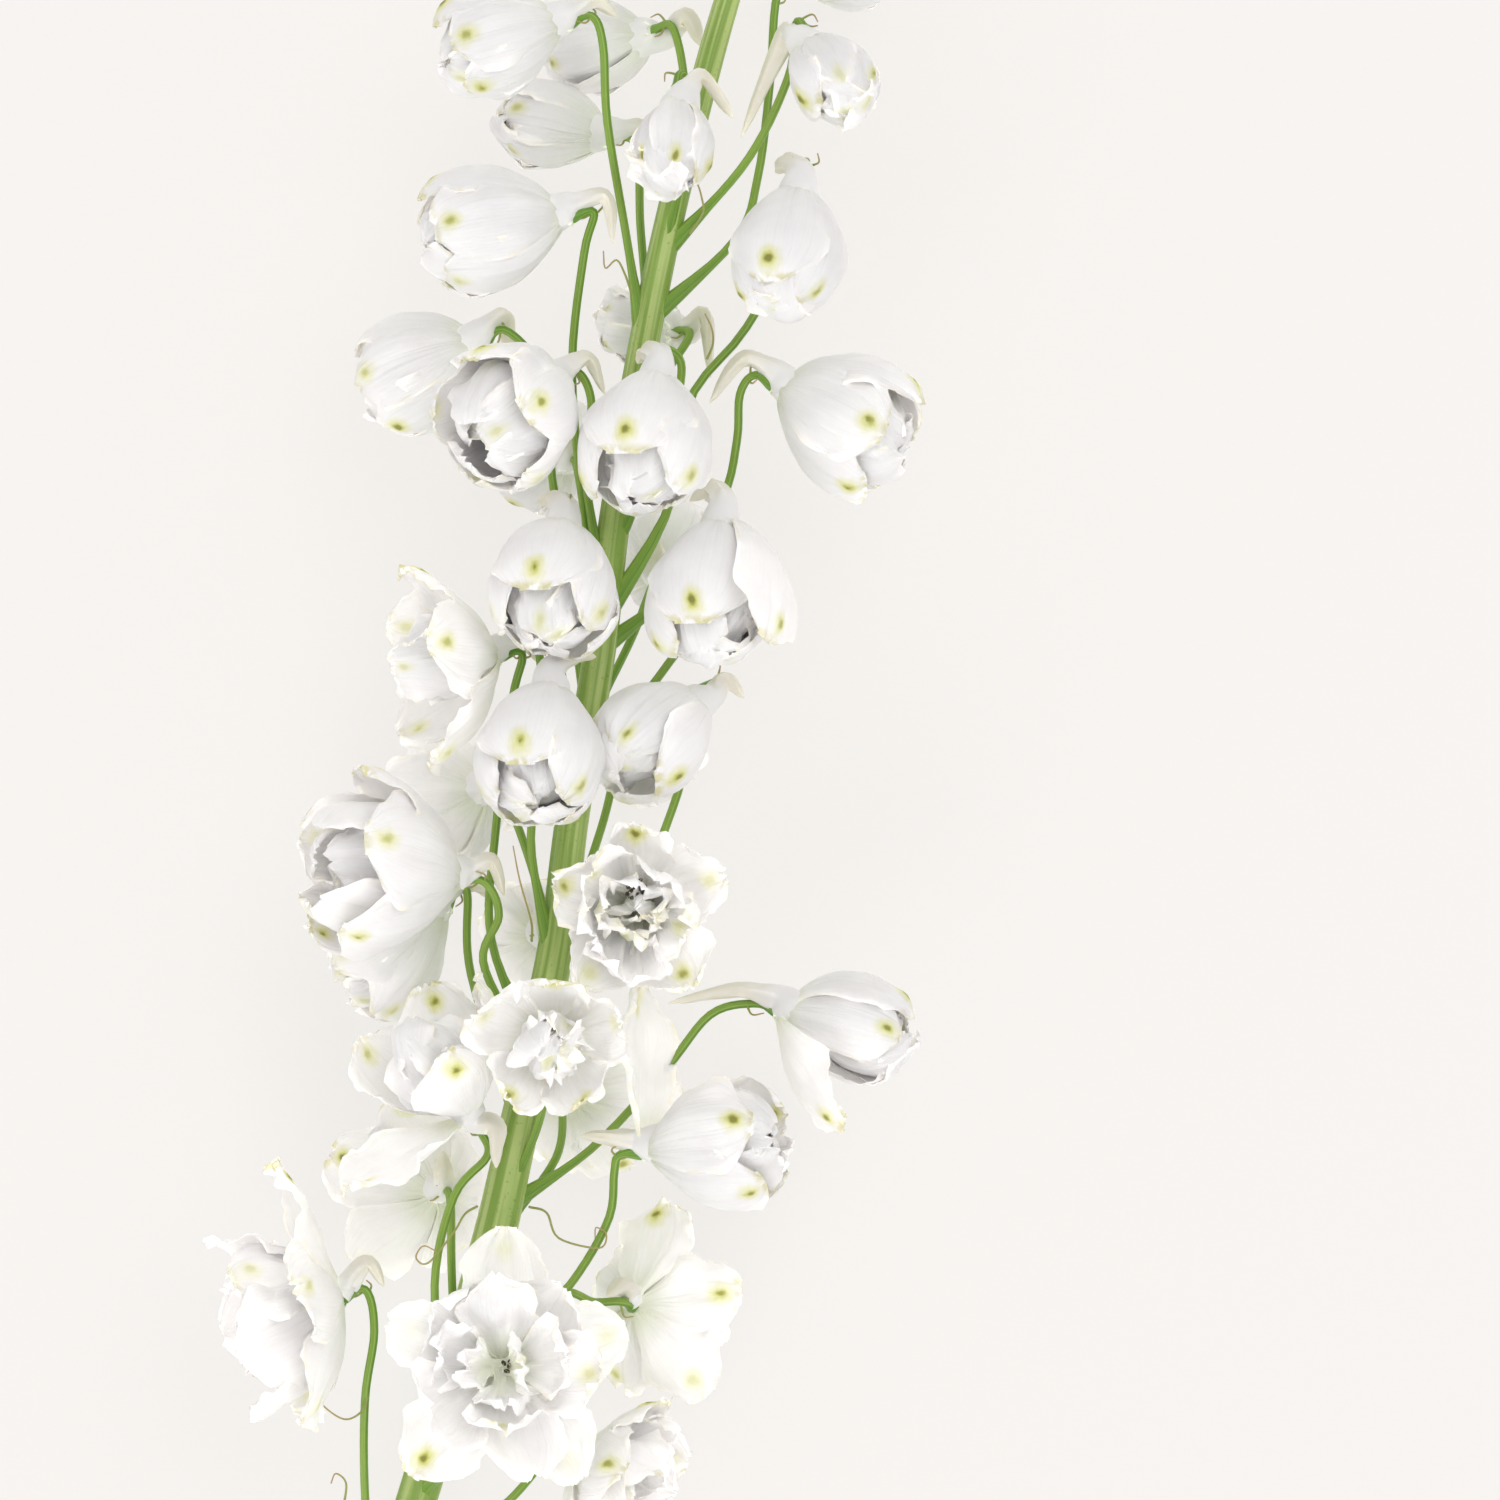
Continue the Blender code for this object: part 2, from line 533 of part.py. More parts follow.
def bud_pedicel(placing, height, radius):
    axis = placing.to_3x3().col[2]
    end = placing.translation - axis * SEAT_GAP
    root = stem_at(height)
    middle = (root + end) / 2 - Vector((0, BUD_PEDICEL_SAG, 0))
    route = [root, middle, end - axis * BUD_RUN_IN, end]
    return swept_tube(route, [radius] * len(route), PEDICEL_SIDES)


def make_stem(pedicels, finish):
    """The stem, round and tapered, with every pedicel fused to it. The exact solver leaves a wall
    of no thickness in this union, so it has the other one."""
    route = [through(STEM_ROUTE, i / STEM_RINGS) for i in range(STEM_RINGS + 1)]
    radii = [through(STEM_RADII, i / STEM_RINGS).x for i in range(STEM_RINGS + 1)]
    placing = Matrix.Identity(4)
    body = new_object("stem", swept_tube(route, radii, STEM_SIDES), placing, finish)
    others = [new_object(f"pedicel_{i}", bm, placing, finish) for i, bm in enumerate(pedicels)]
    return joined(body, others, "MANIFOLD")


def finish_object(item):
    """Brings an object from millimetres to its place in metres, and shades it."""
    shift = Matrix.Translation((-OUTLINE_MIDDLE[0], -OUTLINE_MIDDLE[1], SURFACE_DEPTH))
    item.data.transform(Matrix.Scale(MM, 4) @ shift)
    item.data.shade_smooth()
    item.data.set_sharp_from_angle(angle=SHARP_ANGLE)


def main():
    clear_scene()
    petal_white = material("petal_white", PETAL_WHITE, 0.55)
    stem_green = material("stem_green", STEM_GREEN, 0.5)
    made, pedicels = [], []
    for bloom in BLOOMS:
        body, placing = make_bloom(bloom, petal_white)
        made.append(body)
        pedicels.append(pedicel(bloom, placing))
    for i, (placing, length, height) in enumerate(bud_shapes()):
        made.append(make_bud(f"bud_{i + 1:02d}", placing, length, petal_white))
        radius = mix(BUD_PEDICEL_RADIUS_LOW, BUD_PEDICEL_RADIUS_HIGH, i / (BUD_COUNT - 1))
        pedicels.append(bud_pedicel(placing, height, radius))
    made.append(make_stem(pedicels, stem_green))
    for item in made:
        finish_object(item)


main()
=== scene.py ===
# A cut spike of white delphinium lying on a pale table. Lengths in the tables are millimetres in
# the spike's own frame: x across it, y along it towards the tip, z above the middle of the stem.
import math
import random
from collections import namedtuple

import bmesh
import bpy
from mathutils import Matrix, Vector, noise


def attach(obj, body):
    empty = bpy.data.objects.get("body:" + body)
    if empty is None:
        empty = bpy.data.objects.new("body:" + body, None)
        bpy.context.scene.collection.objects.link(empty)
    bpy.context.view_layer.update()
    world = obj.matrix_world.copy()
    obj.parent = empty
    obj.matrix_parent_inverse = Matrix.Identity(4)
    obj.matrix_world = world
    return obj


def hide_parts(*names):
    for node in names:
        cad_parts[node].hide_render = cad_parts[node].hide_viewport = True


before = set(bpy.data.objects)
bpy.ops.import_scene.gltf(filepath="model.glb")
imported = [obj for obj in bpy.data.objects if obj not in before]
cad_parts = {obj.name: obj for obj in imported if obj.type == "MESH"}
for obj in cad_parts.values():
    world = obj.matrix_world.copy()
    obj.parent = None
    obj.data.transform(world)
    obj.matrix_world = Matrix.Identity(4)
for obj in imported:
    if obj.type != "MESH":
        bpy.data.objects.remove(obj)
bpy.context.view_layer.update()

# The table, the light and the camera. The camera looks straight down on the spike from a metre and
# a half, in soft daylight, on a matt off-white board that is lit evenly from below, as a light
# table is.
MM = 0.001
SURFACE_DEPTH = 44.0
BOARD_RADIUS, BOARD_SIDES = 5.0, 96
BOARD_GLOW = 0.71
DAYLIGHT = 0.7
CAMERA_HEIGHT = 1500.0
CAMERA_LENS, SENSOR_WIDTH = 180.0, 36.0
OUTLINE_MIDDLE = (-36.3, 5.2)
TO_TABLE = Matrix.Scale(MM, 4) @ Matrix.Translation(
    (-OUTLINE_MIDDLE[0], -OUTLINE_MIDDLE[1], SURFACE_DEPTH))

scene = bpy.context.scene
scene.view_settings.view_transform = "Standard"


def seen(red, green, blue):
    """The colour of a surface that looks like these numbers, each from 0 to 255, in white light."""
    shares = [part / 255 for part in (red, green, blue)]
    return (*[s / 12.92 if s <= 0.04045 else ((s + 0.055) / 1.055) ** 2.4 for s in shares], 1.0)


class Number:
    """A number that a finish works out at each point, so that its sums can be written as sums."""

    def __init__(self, finish, socket):
        self.finish = finish
        self.socket = socket

    def sum(self, operation, *numbers):
        return self.finish.node("ShaderNodeMath", {"operation": operation}, numbers)

    def __add__(self, other):
        return self.sum("ADD", self, other)

    def __sub__(self, other):
        return self.sum("SUBTRACT", self, other)

    def __rsub__(self, other):
        return self.sum("SUBTRACT", other, self)

    def __mul__(self, other):
        return self.sum("MULTIPLY", self, other)

    def __truediv__(self, other):
        return self.sum("DIVIDE", self, other)

    def __pow__(self, other):
        return self.sum("POWER", self, other)

    def __abs__(self):
        return self.sum("ABSOLUTE", self)

    __radd__ = __add__
    __rmul__ = __mul__

    def rising(self, low, high):
        """0 up to low, 1 from high on, and smooth between them. Falls instead where low is more."""
        span = {"From Min": min(low, high), "From Max": max(low, high),
                "To Min": float(low > high), "To Max": float(low <= high)}
        return self.finish.node("ShaderNodeMapRange", {"interpolation_type": "SMOOTHSTEP"},
                                {"Value": self, **span})


class Finish:
    """A material, and what its nodes work out."""

    def __init__(self, name, roughness, **others):
        self.material = bpy.data.materials.new(name)
        self.material.use_nodes = True
        self.tree = self.material.node_tree
        self.shader = self.tree.nodes["Principled BSDF"]
        self.set(Roughness=roughness, **others)

    def feed(self, socket, value):
        if isinstance(value, Number):
            self.tree.links.new(value.socket, socket)
        else:
            socket.default_value = value

    def set(self, **sockets):
        for name, value in sockets.items():
            self.feed(self.shader.inputs[name.replace("_", " ")], value)

    def node(self, kind, settings, inputs, output=0):
        """A node of that kind: first its settings, then the values or links of its sockets."""
        made = self.tree.nodes.new(kind)
        for name, value in settings.items():
            setattr(made, name, value)
        for key, value in inputs.items() if isinstance(inputs, dict) else enumerate(inputs):
            self.feed(made.inputs[key], value)
        return Number(self, made.outputs[output])

    def attribute(self, name):
        """The three numbers of a mesh attribute."""
        read = self.node("ShaderNodeAttribute", {"attribute_name": name}, {}, "Vector")
        return [self.node("ShaderNodeSeparateXYZ", {}, [read], axis) for axis in range(3)]

    def vector(self, *numbers):
        return self.node("ShaderNodeCombineXYZ", {}, numbers)

    def place(self):
        return self.node("ShaderNodeTexCoord", {}, {}, "Object")

    def grain(self, place, scale, detail=2.0):
        """Smooth noise from 0 to 1, with a middle of 0.5."""
        return self.node("ShaderNodeTexNoise", {}, {"Vector": place, "Scale": scale,
                                                    "Detail": detail})

    def blend(self, share, low, high):
        """The colour between two colours at a share."""
        return self.node("ShaderNodeMix", {"data_type": "RGBA"}, {0: share, 6: low, 7: high}, 2)

    def relief(self, height, depth):
        """Makes the surface look raised by that height, of which 1 is depth metres."""
        self.set(Normal=self.node("ShaderNodeBump", {}, {"Distance": depth, "Height": height}))


board = Finish("matt_board", 0.9, Emission_Color=(1.0, 0.974, 0.948, 1.0),
               Emission_Strength=BOARD_GLOW)
weave = board.grain(board.place(), 900.0)
board.set(Base_Color=board.blend(weave, seen(132, 130, 128), seen(129, 127, 125)))
board.material.cycles.emission_sampling = "NONE"
floor_shape = bmesh.new()
bmesh.ops.create_circle(floor_shape, cap_ends=True, segments=BOARD_SIDES, radius=BOARD_RADIUS)
floor_mesh = bpy.data.meshes.new("table")
floor_shape.to_mesh(floor_mesh)
floor_shape.free()
floor_mesh.materials.append(board.material)
floor = bpy.data.objects.new("table", floor_mesh)
scene.collection.objects.link(floor)


def window(name, place, size, power):
    """A wide soft light that faces the spike."""
    lamp = bpy.data.lights.new(name, "AREA")
    lamp.size = size
    lamp.energy = power
    held = bpy.data.objects.new(name, lamp)
    scene.collection.objects.link(held)
    held.location = place
    held.rotation_euler = (-Vector(place)).to_track_quat("-Z", "Y").to_euler()
    held.visible_camera = False


window("window", place=(0.6, 0.6, 1.9), size=1.0, power=6.0)
window("room", place=(-0.4, -1.4, 1.3), size=0.9, power=8.0)
world = bpy.data.worlds.new("daylight")
world.use_nodes = True
sky = world.node_tree.nodes["Background"]
sky.inputs["Color"].default_value = (1.0, 0.994, 0.99, 1.0)
sky.inputs["Strength"].default_value = DAYLIGHT
scene.world = world

camera_data = bpy.data.cameras.new("camera")
camera_data.sensor_width = SENSOR_WIDTH
camera_data.lens = CAMERA_LENS
camera = bpy.data.objects.new("camera", camera_data)
scene.collection.objects.link(camera)
camera.location = TO_TABLE @ Vector((0, 0, CAMERA_HEIGHT))
scene.camera = camera

# The stem: one juicy green stalk from the cut end to the tip, with five soft ribs and fine pale
# streaks along it. It is grown in one with the pedicels.
StemPoint = namedtuple("StemPoint", "x y z radius")
STEM_LINE = [
    StemPoint(-93, -232, -39.7, 4.4),
    StemPoint(-85, -205, -31, 4.3),
    StemPoint(-76, -178, -21, 4.2),
    StemPoint(-66.5, -149, -12, 4.1),
    StemPoint(-53, -104, -3, 4.3),
    StemPoint(-48, -84, 0, 4.1),
    StemPoint(-39, -41, 1, 3.7),
    StemPoint(-35.5, -14, 1, 3.4),
    StemPoint(-30, 20, 0, 3.3),
    StemPoint(-27, 46, 0, 3.2),
    StemPoint(-21.4, 80, 0, 3.1),
    StemPoint(-15.6, 108, 0, 2.9),
    StemPoint(-8, 138, 0, 2.7),
    StemPoint(0, 166, 0, 2.3),
    StemPoint(6, 192, 0, 1.8),
    StemPoint(10, 216, 1, 1.4),
    StemPoint(13, 238, 2, 1.0),
]
STEM_ROUTE = [Vector((p.x, p.y, p.z)) for p in STEM_LINE]
STEM_RADII = [Vector((p.radius, 0, 0)) for p in STEM_LINE]
STEM_RINGS = 150
STEM_SIDES = 30
STEM_RIBS = 5
RIB_HEIGHT = 0.03
RIB_TWIST = 3.0
STEM, PEDICEL, THREAD = 0.0, 1.0, 2.0
HALVINGS = 30
SEAM_GAP = 0.001


def mix(low, high, share):
    return low + (high - low) * share


def rising(low, high, value):
    """0 up to low, 1 from high on, and smooth between them."""
    share = min(1.0, max(0.0, (value - low) / (high - low)))
    return share * share * (3 - 2 * share)


def through(points, share):
    """A point of the smooth curve through the points, at a share of its run from 0 to 1."""
    last = len(points) - 1
    place = min(max(share, 0.0), 1.0) * last
    first = min(int(place), last - 1)
    t = place - first
    b, c = points[first], points[first + 1]
    a = points[first - 1] if first > 0 else b * 2 - c
    d = points[first + 2] if first + 2 <= last else c * 2 - b
    return 0.5 * (b * 2 + (c - a) * t + (a * 2 - b * 5 + c * 4 - d) * t**2
                  + (b * 3 - a - c * 3 + d) * t**3)


def stem_at(height):
    """The middle of the stem at a height along the spike."""
    low, high = 0.0, 1.0
    for _ in range(HALVINGS):
        middle = (low + high) / 2
        if through(STEM_ROUTE, middle).y < height:
            low = middle
        else:
            high = middle
    return through(STEM_ROUTE, low)


def sides_along(route, side):
    """For each point of the route, two directions square to it and to each other, without twist.
    The first one starts as near to side as it can."""
    pairs = []
    for i in range(len(route)):
        ahead = (route[min(i + 1, len(route) - 1)] - route[max(i - 1, 0)]).normalized()
        side = (side - ahead * side.dot(ahead)).normalized()
        pairs.append((side, ahead.cross(side)))
    return pairs


def close_tube(bm, skin):
    """Joins the seam of a rolled skin and closes both of its ends."""
    bmesh.ops.remove_doubles(bm, verts=skin, dist=SEAM_GAP)
    rims = {edge for vert in skin if vert.is_valid for edge in vert.link_edges if edge.is_boundary}
    caps = bmesh.ops.holes_fill(bm, edges=list(rims), sides=0)["faces"]
    bmesh.ops.poke(bm, faces=caps)


def tube(bm, route, radius_at, sides, kind):
    """Adds a closed tube along the route. radius_at gives its radius for an angle round it and a
    share along it. Its attributes say where a point is: the angle's cosine and sine with the
    millimetres along, and the kind of stalk with the share along."""
    where = bm.verts.layers.float_vector.get("stalk_place")
    what = bm.verts.layers.float_vector.get("stalk_kind")
    upright = abs((route[1] - route[0]).normalized().z) >= 0.9
    pairs = sides_along(route, Vector((0, 1, 0)) if upright else Vector((0, 0, 1)))
    run = [0.0]
    for start, end in zip(route, route[1:]):
        run.append(run[-1] + (end - start).length)
    last = len(route) - 1
    skin = bmesh.ops.create_grid(bm, x_segments=sides, y_segments=last, size=1.0)["verts"]
    for vert in skin:
        ring = round((vert.co.y + 1) / 2 * last)
        angle = math.pi * (vert.co.x + 1)
        side, across = pairs[ring]
        radius = radius_at(angle, ring / last)
        vert[where] = (math.cos(angle), math.sin(angle), run[ring])
        vert[what] = (kind, ring / last, 0.0)
        vert.co = route[ring] + (side * math.cos(angle) + across * math.sin(angle)) * radius
    close_tube(bm, skin)


def stalks():
    """An empty bmesh with the attributes of a stalk."""
    bm = bmesh.new()
    bm.verts.layers.float_vector.new("stalk_place")
    bm.verts.layers.float_vector.new("stalk_kind")
    return bm


def stem_radius(angle, share):
    ribs = math.cos(STEM_RIBS * angle + RIB_TWIST * share)
    ribs += 0.5 * math.cos(2 * STEM_RIBS * angle)
    return through(STEM_RADII, share).x * (1 + RIB_HEIGHT * ribs)


green = Finish("stalk_green", 0.4, Subsurface_Weight=0.2, Subsurface_Radius=(0.6, 1.0, 0.3),
               Subsurface_Scale=0.0015, Specular_IOR_Level=0.45)
green.shader.subsurface_method = "BURLEY"
cosine, sine, along = green.attribute("stalk_place")
kind, share_along, _ = green.attribute("stalk_kind")
streaks = green.grain(green.vector(cosine * 1.5, sine * 1.5, along * 0.01), 1.5, 3.0)
patches = green.grain(green.vector(cosine * 0.6, sine * 0.6, along * 0.07), 1.0, 3.0)
specks = green.grain(green.place(), 1100.0, 3.0)
thick = green.blend(streaks.rising(0.38, 0.62), seen(138, 170, 74), seen(190, 210, 128))
thick = green.blend(patches.rising(0.5, 0.75) * 0.4, thick, seen(150, 186, 84))
thick = green.blend(specks.rising(0.62, 0.7) * 0.4, thick, seen(112, 138, 60))
thin = green.blend(streaks.rising(0.36, 0.64), seen(104, 150, 46), seen(158, 190, 86))
thin = green.blend(share_along.rising(0.75, 1.0) * 0.6, thin, seen(98, 156, 54))
stalk = green.blend(kind, thick, thin)
withered = green.blend(share_along.rising(0.1, 0.9), seen(176, 184, 108), seen(204, 178, 122))
green.set(Base_Color=green.blend(kind - 1.0, stalk, withered))
ribbing = green.grain(green.vector(cosine * 4.0, sine * 4.0, along * 0.015), 2.0, 2.0)
green.relief(ribbing + specks * 0.2, 0.00015)

stem_shape = stalks()
stem_steps = [through(STEM_ROUTE, i / STEM_RINGS) for i in range(STEM_RINGS + 1)]
tube(stem_shape, stem_steps, stem_radius, STEM_SIDES, STEM)

# The petals: thin, soft white blades, grown out of each bloom's back. Five broad sepals stand round
# it, and smaller crumpled petals fill its mouth. A sepal has faint veins, a greenish foot and a
# yellow-green gland behind its tip, and its rim is waved, creamy and a little torn.
SHARP_EDGE = math.radians(60)
CUP_UP_TO, HALF_OPEN, WIDE_OPEN = 0.35, 0.6, 0.8
FACES_UP = 0.4
SEPAL_COUNT = 5
SEPAL_WIDTH, OPEN_SEPAL_WIDTH = 0.74, 0.62
BASE_ANGLE_CLOSED, BASE_ANGLE_OPEN = 50.0, 92.0
TIP_ANGLE_CLOSED, TIP_ANGLE_OPEN = -72.0, 86.0
TURNS_IN_LATE_CLOSED, TURNS_IN_LATE_OPEN = 1.7, 1.0
ROOT_RADIUS, ROOT_HEIGHT = -1.2, 1.4
OVERLAP = 0.3
HOOD_OUTSIDE, LOWER_INSIDE = 1.0, -0.9
HOOD_REACH = 0.88
MOST_ARC, HOOD_ARC = 0.8, 1.08
SMALLEST_WRAP, INNER_TIP_WRAP = 2.4, 8.0
MIDRIB_STEPS = 48
WHORL_STEP = 1.5
WHORL_COUNTS = (5, 5, 4, 3)
WHORL_LENGTHS = (1.0, 0.95, 0.8, 0.5)
CUP_CLOSING, WHORL_CLOSING = 0.03, 0.2
HEART_CLOSER, OPEN_HEART_SHARE = (35.0, 85.0), 0.2
LINING_CLOSERS = (40.0, 46.0, 30.0, 30.0, 46.0)
LINING_STEP = 10
LINING_HEIGHT = 2.9
BLADE_THICKNESS = 0.35
SEPAL_GRID = (24, 26)
INNER_GRID = (14, 18)
CLAW_SHARE = 0.16
TIP_CURL = 26.0
GLAND_FROM_TIP = 4.4
GLAND_WIDTH, GLAND_LENGTH = 1.7, 2.0
GLAND_BULGE = 0.45
TEAR_DEPTH = 0.1
WAVES, FRILLS = (1.8, 3.0), 8.5
FULLNESS, TIP_ROUNDNESS = (1.25, 1.5), 0.52
ROW_SPACING = 0.86
FOLD_DEPTH, MIDRIB_DEPTH, MIDRIB_WIDTH = 0.22, 0.3, 0.12
PETAL_ATTRIBUTES = ("petal_share", "petal_place", "petal_kind")

